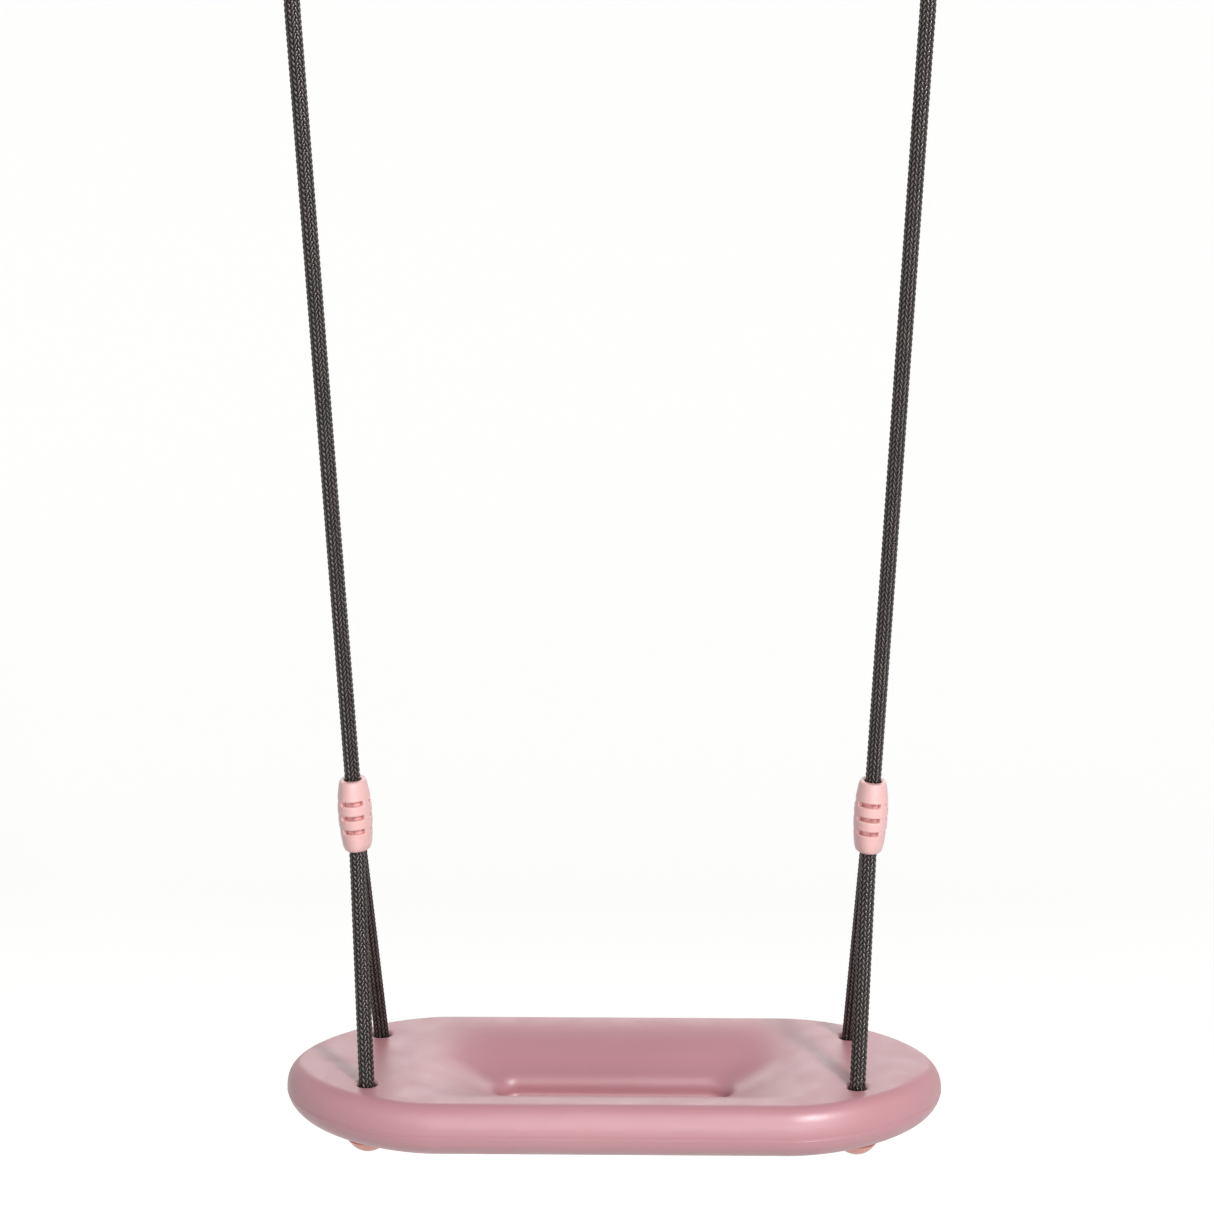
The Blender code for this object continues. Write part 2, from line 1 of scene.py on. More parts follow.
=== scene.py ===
"""Plank swing: a moulded pink seat on two braided ropes, with a slotted rope clamp on each side.

Metres throughout, in the CAD frame: the origin is the middle of the hang line, through the centres of
the two rings; +X is to the right as seen from the front, -Y is the front and +Z is up.
"""

import math

import bmesh
import bpy
import numpy as np
from mathutils import Matrix, Vector


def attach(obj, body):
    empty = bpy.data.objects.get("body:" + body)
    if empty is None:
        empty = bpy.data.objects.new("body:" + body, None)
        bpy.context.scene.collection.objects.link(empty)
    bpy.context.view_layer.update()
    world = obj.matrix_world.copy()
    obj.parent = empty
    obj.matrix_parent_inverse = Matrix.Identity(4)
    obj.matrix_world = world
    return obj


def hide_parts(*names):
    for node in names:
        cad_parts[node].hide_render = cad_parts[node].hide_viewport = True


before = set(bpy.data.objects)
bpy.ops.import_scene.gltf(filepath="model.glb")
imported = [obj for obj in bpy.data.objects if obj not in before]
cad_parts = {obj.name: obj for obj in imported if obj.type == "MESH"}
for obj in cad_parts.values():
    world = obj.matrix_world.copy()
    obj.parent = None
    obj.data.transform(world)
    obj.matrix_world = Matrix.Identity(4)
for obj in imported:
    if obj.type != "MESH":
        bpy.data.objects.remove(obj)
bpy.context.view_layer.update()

SIDES = (("left", -1), ("right", 1))

# Seat
SEAT_LENGTH = 0.430
SEAT_DEPTH = 0.180
SEAT_THICKNESS = 0.036
SEAT_TOP_Z = -0.850
RIM_WIDEST_DEPTH = 0.0175
RIM_INSET_TOP = 0.0120
RIM_INSET_BOTTOM = 0.0210
END_ROUNDING_LENGTH = 0.1027
END_ROUNDING_POWER = 1.76
DISH_DEPTH = 0.030
DISH_HALF_WIDTH = 0.078
DISH_FADE = (0.066, 0.134)
DISH_FADE_SPREAD = (0.35, 0.15)
FRONT_SLOPE = 0.42
FRONT_FLAT = 0.014
FRONT_BEND = 0.008
DISH_MIDDLE = 0.020
POCKET_HALF = (0.0745, 0.0140)
POCKET_DEPTH = 0.0325
POCKET_CORNER_RADIUS = 0.0125
POCKET_LIP_RADIUS = 0.0120
POCKET_FLOOR_RADIUS = 0.0045
POCKET_DRAFT = math.radians(4.0)
VENT_RADIUS = 0.0035
VENT_X = 0.105
VENT_DEPTH = 0.0018
CUTTER_OVERRUN = 0.002

# Rope holes and their fittings
HOLE_X = 0.157
HOLE_Y = 0.0455
HOLE_RADIUS = 0.0057
HOLE_LENGTH = 0.012
HOLE_MOUTH_RADIUS = 0.0088
HOLE_MOUTH_DEPTH = 0.0032
COUNTERBORE_RADIUS = 0.0122
WASHER_RADII = (0.0056, 0.0115)
WASHER_THICKNESS = 0.0015
KNOT_RADIUS = 0.0102
KNOT_HEIGHT = 0.0160
KNOT_TIP_SHARE = 0.02
CAP_RADIUS = 0.0130
CAP_DOME_HEIGHT = 0.0086
CAP_WALL = 0.0015
CAP_SPIGOT_LENGTH = 0.0045
GAP = 0.0003

# Ropes
ROPE_DIAMETER = 0.0100
ROPE_VALLEY_RADIUS = 0.0040
ROPE_RELIEF = 0.00115
BRAID_PITCH = 0.0035
BRAID_COLUMNS = 12
COLUMN_STEPS = 4
PITCH_ROWS = 6
RING_X = 0.2026
HOLE_MIDDLE_DEPTH = 0.007
ROPE_LINE_RISE = HOLE_MIDDLE_DEPTH - SEAT_TOP_Z
LEAN = math.atan2(RING_X - HOLE_X, ROPE_LINE_RISE)
ROPE_LINE_LENGTH = math.hypot(RING_X - HOLE_X, ROPE_LINE_RISE)

# Clamps
CLAMP_BOTTOM = 0.1515
CLAMP_LENGTH = 0.0460
CLAMP_EXTRA_DEPTH = 0.0046
CLAMP_PROFILE = (
    (0.0000, 0.0080),
    (0.0005, 0.0085),
    (0.0015, 0.0089),
    (0.0033, 0.0094),
    (0.0090, 0.0101),
    (0.0172, 0.0108),
    (0.0255, 0.0110),
    (0.0338, 0.0105),
    (0.0402, 0.0096),
    (0.0438, 0.0089),
    (0.0452, 0.0084),
    (0.0458, 0.0079),
    (0.0460, 0.0074),
)
CLAMP_TOP_DROPS = (0.0030, 0.0022, 0.0015, 0.0010, 0.0006, 0.0003, 0.0001, 0.0)
CLAMP_LIP_RINGS = ((0.3, 0.0), (0.6, 0.0001), (0.85, 0.0003), (0.96, 0.0007))
CLAMP_EDGE_RADIUS = 0.0008
CLAMP_BORE_RADII = (0.0072, 0.0119)
CLAMP_LIP_LENGTH = 0.0040
CLAMP_LIP_RADIUS = 0.0056
CORE_RADII = (0.0069, 0.0116)
CORE_LENGTH = 0.0400
CORE_ROUTE_POINTS = 7
SLOT_HEIGHT = 0.0031
SLOT_PITCH = 0.0093
FRONT_SLOT_HALF_ANGLE = math.radians(43.0)
SIDE_SLOT_HALF_ANGLE = math.radians(20.6)
SLOT_TURN = {"left": math.radians(1.0), "right": math.radians(-15.0)}

# Ring, thimble and ferrule
RING_RADIUS = 0.024
RING_WIRE_RADIUS = 0.004
THIMBLE_DROP = 0.0302
THIMBLE_BORE_RADIUS = 0.0120
THIMBLE_RADIUS = 0.0225
THIMBLE_WIDTH = 0.0156
THIMBLE_GROOVE_RADIUS = 0.0061
EYE_RADIUS = 0.0213
FERRULE_TOP = 0.0840
FERRULE_LENGTH = 0.0260
FERRULE_RADII = (0.0144, 0.0086)
FERRULE_BORE_RADII = (0.0118, 0.0062)
FERRULE_BORE_FLARE = 0.0016
FERRULE_FLARE_START = 0.018
FERRULE_FLARE_PAST = 0.005

# Routes as (across, front to back, along) the rope line of one side
STRAND_ROUTE = (
    (0.0, -0.0455, -0.0078),
    (0.0, -0.0455, -0.0020),
    (0.0, -0.0449, 0.0075),
    (0.0, -0.0436, 0.0130),
    (0.0, -0.0373, 0.0360),
    (0.0, -0.0262, 0.0760),
    (0.0, -0.0150, 0.1160),
    (0.0, -0.0093, 0.1360),
    (0.0, -0.0066, 0.1460),
    (0.0, -0.0054, 0.1530),
    (0.0, -0.0052, 0.1600),
)
MAIN_ROUTE_ABOVE_CLAMP = (
    (0.0, -0.0050, 0.1665),
    (0.0, -0.0038, 0.1728),
    (0.0, -0.0019, 0.1792),
    (0.0, -0.0005, 0.1855),
    (0.0, 0.0, 0.1920),
    (0.0, 0.0, 0.2200),
    (0.0, 0.0, 0.3000),
    (0.0, 0.0, 0.4200),
    (0.0, 0.0, 0.5500),
    (0.0, 0.0, 0.6600),
    (0.0, 0.0, 0.6850),
    (-0.0006, 0.0, 0.7020),
    (-0.0025, 0.0, 0.7200),
    (-0.0044, 0.0, 0.7370),
    (-0.0052, 0.0, 0.7520),
    (-0.0052, 0.0, 0.7620),
)
TAIL_END = (0.0, -0.0052, 0.1668)
EYE_LEG_ROUTE = (
    (-0.0057, 0.0, 0.7700),
    (-0.0078, 0.0, 0.7800),
    (-0.0118, 0.0, 0.7900),
    (-0.0160, 0.0, 0.7985),
)
EYE_HALF_TURN = math.radians(122)
EYE_STEPS = 6
STUB_ROUTE = (
    (0.0052, 0.0, 0.7620),
    (0.0052, 0.0, 0.7500),
    (0.0052, 0.0, 0.7400),
)
CURVE_STEPS = 10

# Camera
CAMERA_PLACE = (0.04579, -1.75079, -0.18267)
CAMERA_PITCH = 0.20480
CAMERA_YAW = -0.02779
CAMERA_ROLL = -0.00422
CAMERA_SENSOR = 36.0
CAMERA_LENS = 83.53

# Studio: a floor that curves up into a round wall
FLOOR_Z = -2.0
FLOOR_RADIUS = 3.4
FLOOR_CURVE = 1.6
WALL_TOP_Z = 2.6
FLOOR_GLOW = 0.53
WORLD_STRENGTH = 0.36

# Soft lights, all aimed at one target: name, place, size and power in watts
LIGHT_TARGET = (0.0, 0.0, -0.75)
SOFT_LIGHTS = (
    ("key_light", (1.07, -1.78, 0.78), (0.34, 0.34), 42.0),
    ("front_strip", (0.7, -2.35, -0.52), (2.4, 0.22), 19.0),
    ("front_fill", (-0.9, -2.6, 0.55), (1.8, 1.2), 13.0),
    ("rear_light", (0.0, 2.9, 0.35), (3.4, 0.9), 20.0),
)


# ------------ materials


class Nodes:
    """Short names for building a node material."""

    def __init__(self, name):
        self.material = bpy.data.materials.new(name)
        self.material.use_nodes = True
        self.tree = self.material.node_tree
        self.shader = self.tree.nodes["Principled BSDF"]

    def add(self, kind, inputs=None, **settings):
        node = self.tree.nodes.new(kind)
        for key, value in settings.items():
            setattr(node, key, value)
        for key, value in (inputs or {}).items():
            self.feed(node.inputs[key], value)
        return node

    def feed(self, socket, value):
        if isinstance(value, bpy.types.NodeSocket):
            self.tree.links.new(value, socket)
        else:
            socket.default_value = value

    def place(self):
        return self.add("ShaderNodeTexCoord").outputs["Object"]

    def noise(self, scale, detail=2.0, roughness=0.5, vector=None):
        node = self.add("ShaderNodeTexNoise", {"Scale": scale, "Detail": detail, "Roughness": roughness})
        self.feed(node.inputs["Vector"], vector or self.place())
        return node.outputs["Fac"]

    def math(self, operation, first, second=0.0):
        node = self.add("ShaderNodeMath", operation=operation)
        self.feed(node.inputs[0], first)
        self.feed(node.inputs[1], second)
        return node.outputs[0]

    def spread(self, value, low, high, new_low, new_high):
        node = self.add("ShaderNodeMapRange")
        self.feed(node.inputs["Value"], value)
        for key, number in zip(("From Min", "From Max", "To Min", "To Max"), (low, high, new_low, new_high)):
            node.inputs[key].default_value = number
        return node.outputs["Result"]

    def mix(self, factor, first, second):
        node = self.add("ShaderNodeMix", data_type="RGBA")
        self.feed(node.inputs["Factor"], factor)
        self.feed(node.inputs[6], first)
        self.feed(node.inputs[7], second)
        return node.outputs[2]

    def bump(self, height, distance, strength=1.0, normal=None):
        node = self.add("ShaderNodeBump", {"Strength": strength, "Distance": distance, "Height": height})
        if normal:
            self.feed(node.inputs["Normal"], normal)
        return node.outputs["Normal"]

    def attribute(self, name):
        return self.add("ShaderNodeAttribute", attribute_name=name).outputs["Fac"]

    def set(self, **values):
        for key, value in values.items():
            self.feed(self.shader.inputs[key.replace("_", " ")], value)


def rgb(code):
    """Linear colour of an sRGB hex code."""
    channels = [int(code[start : start + 2], 16) / 255 for start in (0, 2, 4)]
    linear = [c / 12.92 if c <= 0.04045 else ((c + 0.055) / 1.055) ** 2.4 for c in channels]
    return (*linear, 1.0)


def moulded_plastic(name, colour, deep, roughness, grain, specular=0.5, glow=0.0):
    """Semi-matt polyethylene: fine moulding grain, faint clouding of the colour and uneven gloss."""
    nodes = Nodes(name)
    cloud = nodes.noise(7.0, 3.0, 0.55)
    speckle = nodes.noise(900.0, 1.0)
    clouding = nodes.spread(cloud, 0.3, 0.7, 0.0, 0.75)
    shade = nodes.math("ADD", clouding, nodes.spread(speckle, 0.3, 0.7, 0.0, 0.25))
    nodes.set(Base_Color=nodes.mix(shade, rgb(colour), rgb(deep)))
    gloss = nodes.noise(55.0, 4.0, 0.6)
    nodes.set(Roughness=nodes.spread(gloss, 0.3, 0.7, roughness - 0.05, roughness + 0.05))
    wave = nodes.bump(nodes.noise(24.0, 2.0), 0.0006, 0.18)
    fine = nodes.bump(nodes.noise(grain, 2.0, 0.6), 0.0001, 0.5, wave)
    nodes.set(Normal=fine)
    nodes.shader.inputs["Specular IOR Level"].default_value = specular
    if glow:
        nodes.shader.inputs["Subsurface Weight"].default_value = glow
        nodes.shader.inputs["Subsurface Radius"].default_value = (1.0, 0.35, 0.3)
        nodes.shader.inputs["Subsurface Scale"].default_value = 0.004
    return nodes.material


def yarn_material():
    """Glossy braided multifilament: painted shade and lower gloss between the strands, fine filaments along
    them.
    """
    nodes = Nodes("rope_braid")
    relief = nodes.attribute("relief")
    crest = nodes.mix(nodes.attribute("tone"), rgb("2A1F1C"), rgb("50433E"))
    # painted shade: by the relief attribute, the base colour darkens from the strands' crests to near black
    # in the gaps between them
    lit = nodes.spread(relief, 0.42, 0.92, 0.0, 1.0)
    nodes.set(Base_Color=nodes.mix(lit, rgb("0B0908"), crest))
    uv = nodes.add("ShaderNodeUVMap", uv_map="strand").outputs["UV"]
    split = nodes.add("ShaderNodeSeparateXYZ", {"Vector": uv})
    sway = nodes.math("MULTIPLY", nodes.noise(400.0, 1.0), 0.9)
    turns = nodes.math("ADD", nodes.math("MULTIPLY", split.outputs["X"], 2 * math.pi * 4), sway)
    filament = nodes.math("SINE", turns)
    nodes.set(Roughness=nodes.spread(nodes.noise(700.0, 2.0), 0.3, 0.7, 0.20, 0.34))
    nodes.set(Normal=nodes.bump(filament, 0.00003, 0.5))
    gloss = nodes.spread(relief, 0.42, 0.95, 0.15, 0.95)
    nodes.set(Specular_IOR_Level=gloss)
    return nodes.material


def zinc_material(name, colour, roughness):
    """Bright zinc plate: fine brushed clouding over steel."""
    nodes = Nodes(name)
    cloud = nodes.noise(60.0, 5.0, 0.65)
    nodes.set(Base_Color=nodes.mix(nodes.spread(cloud, 0.3, 0.7, 0.0, 1.0), rgb(colour), rgb("8F9397")))
    nodes.set(Roughness=nodes.spread(nodes.noise(180.0, 3.0), 0.3, 0.7, roughness - 0.07, roughness + 0.1))
    nodes.set(Normal=nodes.bump(nodes.noise(500.0, 3.0), 0.00004, 0.5))
    nodes.shader.inputs["Metallic"].default_value = 1.0
    return nodes.material


def core_material():
    """Pink moulded core with a painted greyer reflection band down its front and back, where its halves
    meet.
    """
    nodes = Nodes("clamp_core_plastic")
    band = nodes.attribute("band")
    cloud = nodes.noise(90.0, 2.0)
    pink = nodes.mix(nodes.spread(cloud, 0.3, 0.7, 0.0, 1.0), rgb("F6BFBD"), rgb("F0B2B1"))
    # painted reflection: the band attribute mixes in a greyer pink down the core's front and back, in place
    # of the glossy reflection seen through the slots
    nodes.set(Base_Color=nodes.mix(band, pink, rgb("C98F8D")))
    nodes.set(Roughness=nodes.spread(nodes.noise(220.0, 2.0), 0.3, 0.7, 0.42, 0.55))
    nodes.set(Normal=nodes.bump(nodes.noise(1400.0, 2.0), 0.00004, 0.4))
    return nodes.material


SEAT_PLASTIC = moulded_plastic("seat_plastic_look", "BD868D", "B57D85", 0.41, 1100.0, 0.95)
CLAMP_PLASTIC = moulded_plastic("clamp_plastic_look", "E8BCB9", "E4B4B2", 0.36, 2200.0, 0.5, 0.3)
CAP_PLASTIC = moulded_plastic("cap_plastic_look", "F0A99D", "EBA195", 0.38, 2000.0, 0.5, 0.3)
THIMBLE_PLASTIC = moulded_plastic("thimble_plastic_look", "26262A", "1C1C20", 0.42, 1800.0)
CORE_PLASTIC = core_material()
ROPE_YARN = yarn_material()
ZINC_STEEL = zinc_material("zinc_steel_look", "B9BDC1", 0.26)
ALUMINIUM = zinc_material("ferrule_aluminium_look", "C9CBCC", 0.34)


# ------------ mesh helpers


def new_object(name, verts, faces, material):
    mesh = bpy.data.meshes.new(name)
    mesh.from_pydata([tuple(v) for v in verts], [], [tuple(f) for f in faces])
    mesh.update()
    obj = bpy.data.objects.new(name, mesh)
    bpy.context.scene.collection.objects.link(obj)
    mesh.materials.append(material)
    return obj


def finish_mesh(obj, angle=35.0):
    """Normals outward, smooth shading with sharp edges kept."""
    bm = bmesh.new()
    bm.from_mesh(obj.data)
    bmesh.ops.recalc_face_normals(bm, faces=bm.faces)
    bm.to_mesh(obj.data)
    bm.free()
    obj.data.shade_smooth()
    obj.data.set_sharp_from_angle(angle=math.radians(angle))
    return obj


def apply_modifiers(obj):
    graph = bpy.context.evaluated_depsgraph_get()
    mesh = bpy.data.meshes.new_from_object(obj.evaluated_get(graph))
    old = obj.data
    obj.modifiers.clear()
    obj.data = mesh
    bpy.data.meshes.remove(old)
    mesh.name = obj.name
    return obj


def ring_faces(rings, columns, close_rings=False):
    """Quads between successive rings of points, each ring closed on itself."""
    faces = []
    last = rings if close_rings else rings - 1
    for ring in range(last):
        low, high = ring * columns, (ring + 1) % rings * columns
        for step in range(columns):
            after = (step + 1) % columns
            faces.append((low + step, low + after, high + after, high + step))
    return faces


def lathe(name, profile, material, steps=72, closed=False):
    """A turned solid about Z of (radius, z) points; an open profile starts and ends on the axis."""
    inner = profile if closed else profile[1:-1]
    verts = []
    for radius, z in inner:
        for step in range(steps):
            angle = 2 * math.pi * step / steps
            verts.append((radius * math.cos(angle), radius * math.sin(angle), z))
    faces = ring_faces(len(inner), steps, closed)
    if not closed:
        first, last = len(verts), len(verts) + 1
        verts += [(0.0, 0.0, profile[0][1]), (0.0, 0.0, profile[-1][1])]
        end = (len(inner) - 1) * steps
        for step in range(steps):
            after = (step + 1) % steps
            faces.append((first, after, step))
            faces.append((last, end + step, end + after))
    return finish_mesh(new_object(name, verts, faces, material))


def arc(centre, radius, start, stop, steps):
    """(radius, z) points of an arc, with angles in degrees from +radius toward +z."""
    points = []
    for step in range(steps + 1):
        angle = math.radians(start + (stop - start) * step / steps)
        points.append((centre[0] + radius * math.cos(angle), centre[1] + radius * math.sin(angle)))
    return points


def rope_frame(side):
    return Matrix.Translation((side * HOLE_X, 0.0, SEAT_TOP_Z - HOLE_MIDDLE_DEPTH)) @ Matrix.Rotation(
        side * LEAN, 4, "Y"
    )


def settle(obj, matrix):
    """Moves the mesh itself, so that the object stays at the origin."""
    obj.data.transform(matrix)
    return obj


def put(obj, body, slot, *nodes):
    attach(obj, body)
    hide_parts(*nodes)
    return obj


# ------------ ropes


def smooth_route(points):
    """A Catmull-Rom curve through the points, each stretch cut in CURVE_STEPS."""
    points = [np.array(point) for point in points]
    ends = [points[0] * 2 - points[1], *points, points[-1] * 2 - points[-2]]
    route = []
    for before, start, end, after in zip(ends, ends[1:], ends[2:], ends[3:]):
        length = np.linalg.norm(end - start)
        slope_in = (end - before) * (length / (length + np.linalg.norm(start - before)))
        slope_out = (after - start) * (length / (np.linalg.norm(after - end) + length))
        for step in range(CURVE_STEPS):
            t = step / CURVE_STEPS
            route.append(
                start * (2 * t**3 - 3 * t**2 + 1)
                + slope_in * (t**3 - 2 * t**2 + t)
                + end * (3 * t**2 - 2 * t**3)
                + slope_out * (t**3 - t**2)
            )
    route.append(points[-1])
    return np.array(route)


def eye_points():
    centre = ROPE_LINE_LENGTH - THIMBLE_DROP
    points = []
    for step in range(EYE_STEPS + 1):
        angle = EYE_HALF_TURN * (1 - 2 * step / EYE_STEPS)
        points.append((-EYE_RADIUS * math.sin(angle), 0.0, centre + EYE_RADIUS * math.cos(angle)))
    return points


def in_world(points, side, front):
    matrix = np.array(rope_frame(side))
    flat = np.array([(side * across, front * depth, along) for across, depth, along in points])
    return flat @ matrix[:3, :3].T + matrix[:3, 3]


def main_route(side):
    leg_back = [(-across, depth, along) for across, depth, along in reversed(EYE_LEG_ROUTE)]
    below_eye = [*STRAND_ROUTE, *MAIN_ROUTE_ABOVE_CLAMP, *EYE_LEG_ROUTE]
    return smooth_route(in_world([*below_eye, *eye_points(), *leg_back, *STUB_ROUTE], side, 1))


def tail_route(side):
    return smooth_route(in_world([*STRAND_ROUTE, TAIL_END], side, -1))


def lengths_along(route):
    return np.concatenate([[0.0], np.cumsum(np.linalg.norm(np.diff(route, axis=0), axis=1))])


def turning_frames(route):
    """Tangent, facing and sideways directions along the route, without twist."""
    tangents = np.gradient(route, axis=0)
    tangents /= np.linalg.norm(tangents, axis=1)[:, None]
    facing = np.array((0.0, -1.0, 0.0))
    facings = []
    for tangent in tangents:
        facing = facing - tangent * facing.dot(tangent)
        facing = facing / np.linalg.norm(facing)
        facings.append(facing)
    facings = np.array(facings)
    return tangents, facings, np.cross(facings, tangents) * -1.0


def strand_profile(turns):
    """Height across one strand, 1 at its middle and 0 between strands."""
    offset = np.abs(np.mod(turns, 1.0) - 0.5) * 2
    return np.sqrt(np.clip(1 - offset**2, 0, 1))


def braid(name, route, material, envelope=None, phase=0.0, seed=1):
    """A braided rope as a mesh: rows of points zigzag up the columns of rising and falling strands.

    envelope gives, for distances along the route, how much of the rope's radius is there.
    """
    spots = lengths_along(route)
    total = spots[-1]
    tangents, facings, sideways = turning_frames(route)
    columns = BRAID_COLUMNS * COLUMN_STEPS
    rows = int(round(total / BRAID_PITCH * PITCH_ROWS)) + 1
    heights = np.linspace(0.0, total, rows)
    column = np.arange(columns) // COLUMN_STEPS
    part = (np.arange(columns) % COLUMN_STEPS) / COLUMN_STEPS
    rising = column % 2 == 0
    zigzag = np.where(rising, part, 1 - part) - 0.5
    ease = np.clip(np.minimum(heights, total - heights) / (1.5 * BRAID_PITCH), 0, 1)
    along = np.clip(heights[:, None] + zigzag[None, :] * BRAID_PITCH * ease[:, None], 0.0, total)
    turns = np.arange(rows)[:, None] / PITCH_ROWS
    rising_profile = strand_profile(turns)
    falling_profile = strand_profile(turns + 0.5)
    crown = np.interp(part, (0.0, 0.25, 0.5, 0.75), (0.0, 0.80, 1.0, 0.80))
    inside = np.where(rising[None, :], rising_profile, falling_profile) * crown[None, :]
    joint = np.maximum(rising_profile, falling_profile) * 0.36
    relief = np.where(part[None, :] == 0, joint, inside)
    scale = np.ones_like(along) if envelope is None else envelope(along / total)
    radius = (ROPE_VALLEY_RADIUS + ROPE_RELIEF * relief) * scale
    angle = 2 * np.pi * np.arange(columns) / columns + phase
    flat = along.ravel()
    centre, face, side = (
        np.stack([np.interp(flat, spots, values[:, axis]) for axis in range(3)], axis=1)
        for values in (route, facings, sideways)
    )
    reach = (radius * np.cos(angle)[None, :]).ravel()[:, None]
    swing = (radius * np.sin(angle)[None, :]).ravel()[:, None]
    verts = centre + face * reach + side * swing
    verts = np.vstack([verts, route[0], route[-1]])
    row, step = np.meshgrid(np.arange(rows - 1), np.arange(columns), indexing="ij")
    row, step = row.ravel(), step.ravel()
    after = (step + 1) % columns
    low, high = row * columns, (row + 1) * columns
    quads = np.stack([low + step, low + after, high + after, high + step], axis=1)
    first, last = len(verts) - 2, len(verts) - 1
    top = (rows - 1) * columns
    caps = [(first, (s + 1) % columns, s) for s in range(columns)]
    caps += [(last, top + s, top + (s + 1) % columns) for s in range(columns)]
    mesh = bpy.data.meshes.new(name)
    mesh.from_pydata(verts.tolist(), [], quads.tolist() + caps)
    obj = bpy.data.objects.new(name, mesh)
    bpy.context.scene.collection.objects.link(obj)
    mesh.materials.append(material)
    mesh.shade_smooth()
    # relief is the strands' height; rope_braid also uses it to darken the colour as painted shade between
    # the strands
    relief_layer = mesh.attributes.new("relief", "FLOAT", "POINT")
    relief_layer.data.foreach_set("value", np.append(relief.ravel(), (0.5, 0.5)).astype(np.float32))
    generator = np.random.RandomState(seed)
    tones = generator.rand(BRAID_COLUMNS, rows // PITCH_ROWS + 3)
    shift = np.where(rising[step], 0.0, 0.5)
    strand = np.floor((row + 0.5) / PITCH_ROWS + shift).astype(int)
    tone = np.append(tones[column[step], strand], np.full(len(caps), 0.5))
    tone_layer = mesh.attributes.new("tone", "FLOAT", "FACE")
    tone_layer.data.foreach_set("value", tone.astype(np.float32))
    across = row / PITCH_ROWS + shift
    corner_across = np.stack([across, across, across + 1 / PITCH_ROWS, across + 1 / PITCH_ROWS], axis=1)
    corner_part = np.stack([part[step], part[step] + 0.25, part[step] + 0.25, part[step]], axis=1)
    uv = np.stack([corner_across.ravel(), corner_part.ravel()], axis=1)
    uv = np.vstack([uv, np.tile((0.5, 0.5), (3 * len(caps), 1))])
    mesh.uv_layers.new(name="strand").data.foreach_set("uv", uv.astype(np.float32).ravel())
    mesh.update()
    return obj


def rope_end_envelope(total, start_round, end_round):
    """The rope's size along it: its cut ends are melted to a rounded tip."""

    def envelope(share):
        distance = share * total
        scale = np.ones_like(distance)
        for used, gap in ((start_round, distance), (end_round, total - distance)):
            if used:
                inside = np.clip(1 - gap / used, 0, 1)
                scale = scale * np.sqrt(np.clip(1 - 0.8 * inside**2, 0.05, 1))
        return scale

    return envelope


def build_ropes():
    for label, side in SIDES:
        route = main_route(side)
        total = lengths_along(route)[-1]
        rope = braid(
            "braided_main_rope_" + label,
            route,
            ROPE_YARN,
            rope_end_envelope(total, 0.0, 0.0022),
            phase=math.radians(9.0 * side + 4.0),
            seed=11 + side,
        )
        put(rope, "swing", "rope_yarn", "main_rope_" + label)
        route = tail_route(side)
        total = lengths_along(route)[-1]
        rope = braid(
            "braided_tail_rope_" + label,
            route,
            ROPE_YARN,
            rope_end_envelope(total, 0.0, 0.0022),
            phase=math.radians(-12.0 * side),
            seed=21 + side,
        )
        put(rope, "swing", "rope_yarn", "tail_rope_" + label)


# ------------ seat

SIDE_STEPS = 72
END_STEPS = 112
TOP_STEPS = 64

# The parting line: (drop below the widest level, inset from the outline)
PARTING_LINE = (
    (0.0000, 0.00000),
    (0.0004, 0.00004),
    (0.0006, 0.00018),
    (0.0008, 0.00018),
    (0.0010, -0.00004),
    (0.0019, -0.00004),
    (0.0021, 0.00024),
    (0.0023, 0.00024),
    (0.0025, 0.00010),
)


def column_kinds():
    """For each column of the seat's rings: which side or end it is on, and its share of it."""
    kinds = []
    for start in (0, 2):
        kinds += [(start, step / SIDE_STEPS) for step in range(SIDE_STEPS)]
        kinds += [(start + 1, step / END_STEPS) for step in range(END_STEPS)]
    return kinds


def signed_power(value, power):
    return math.copysign(abs(value) ** power, value)


def outline(inset):
    """The seat's plan, moved inward by inset, anticlockwise from the left end of its front side."""
    straight = SEAT_LENGTH / 2 - END_ROUNDING_LENGTH
    half_depth = SEAT_DEPTH / 2 - inset
    end = END_ROUNDING_LENGTH - inset
    points = []
    for kind, share in column_kinds():
        turn = 1 if kind < 2 else -1
        if kind % 2 == 0:
            points.append((turn * straight * (2 * share - 1), -turn * half_depth))
        else:
            angle = math.pi * (share - 0.5)
            x = straight + end * abs(math.cos(angle)) ** (2 / END_ROUNDING_POWER)
            y = half_depth * signed_power(math.sin(angle), 2 / END_ROUNDING_POWER)
            points.append((turn * x, turn * y))
    return np.array(points)


def pocket_outline():
    """The pocket's plan and its outward directions, column by column with the seat's outline."""
    half_length, half_width = POCKET_HALF
    radius = POCKET_CORNER_RADIUS
    straight = half_length - radius
    flat = half_width - radius
    quarter = math.pi / 2 * radius
    end_length = 2 * quarter + 2 * flat
    points, outward = [], []
    for kind, share in column_kinds():
        turn = 1 if kind < 2 else -1
        if kind % 2 == 0:
            point, way = (straight * (2 * share - 1), -half_width), (0.0, -1.0)
        else:
            run = share * end_length
            angle = (min(run - quarter, 0.0) + max(run - quarter - 2 * flat, 0.0)) / radius
            level = min(max(run - quarter - flat, -flat), flat)
            way = (math.cos(angle), math.sin(angle))
            point = (straight + radius * way[0], level + radius * way[1])
        points.append((turn * point[0], turn * point[1]))
        outward.append((turn * way[0], turn * way[1]))
    return np.array(points), np.array(outward)


def smoothstep(low, high, value):
    share = np.clip((value - low) / (high - low), 0, 1)
    return share * share * (3 - 2 * share)


def rear_dish(y):
    """Depth of the rear half, from the rim's crest inward: it steepens toward the pocket."""
    return DISH_DEPTH * np.clip(1 - y / DISH_HALF_WIDTH, 0, 1) ** 2


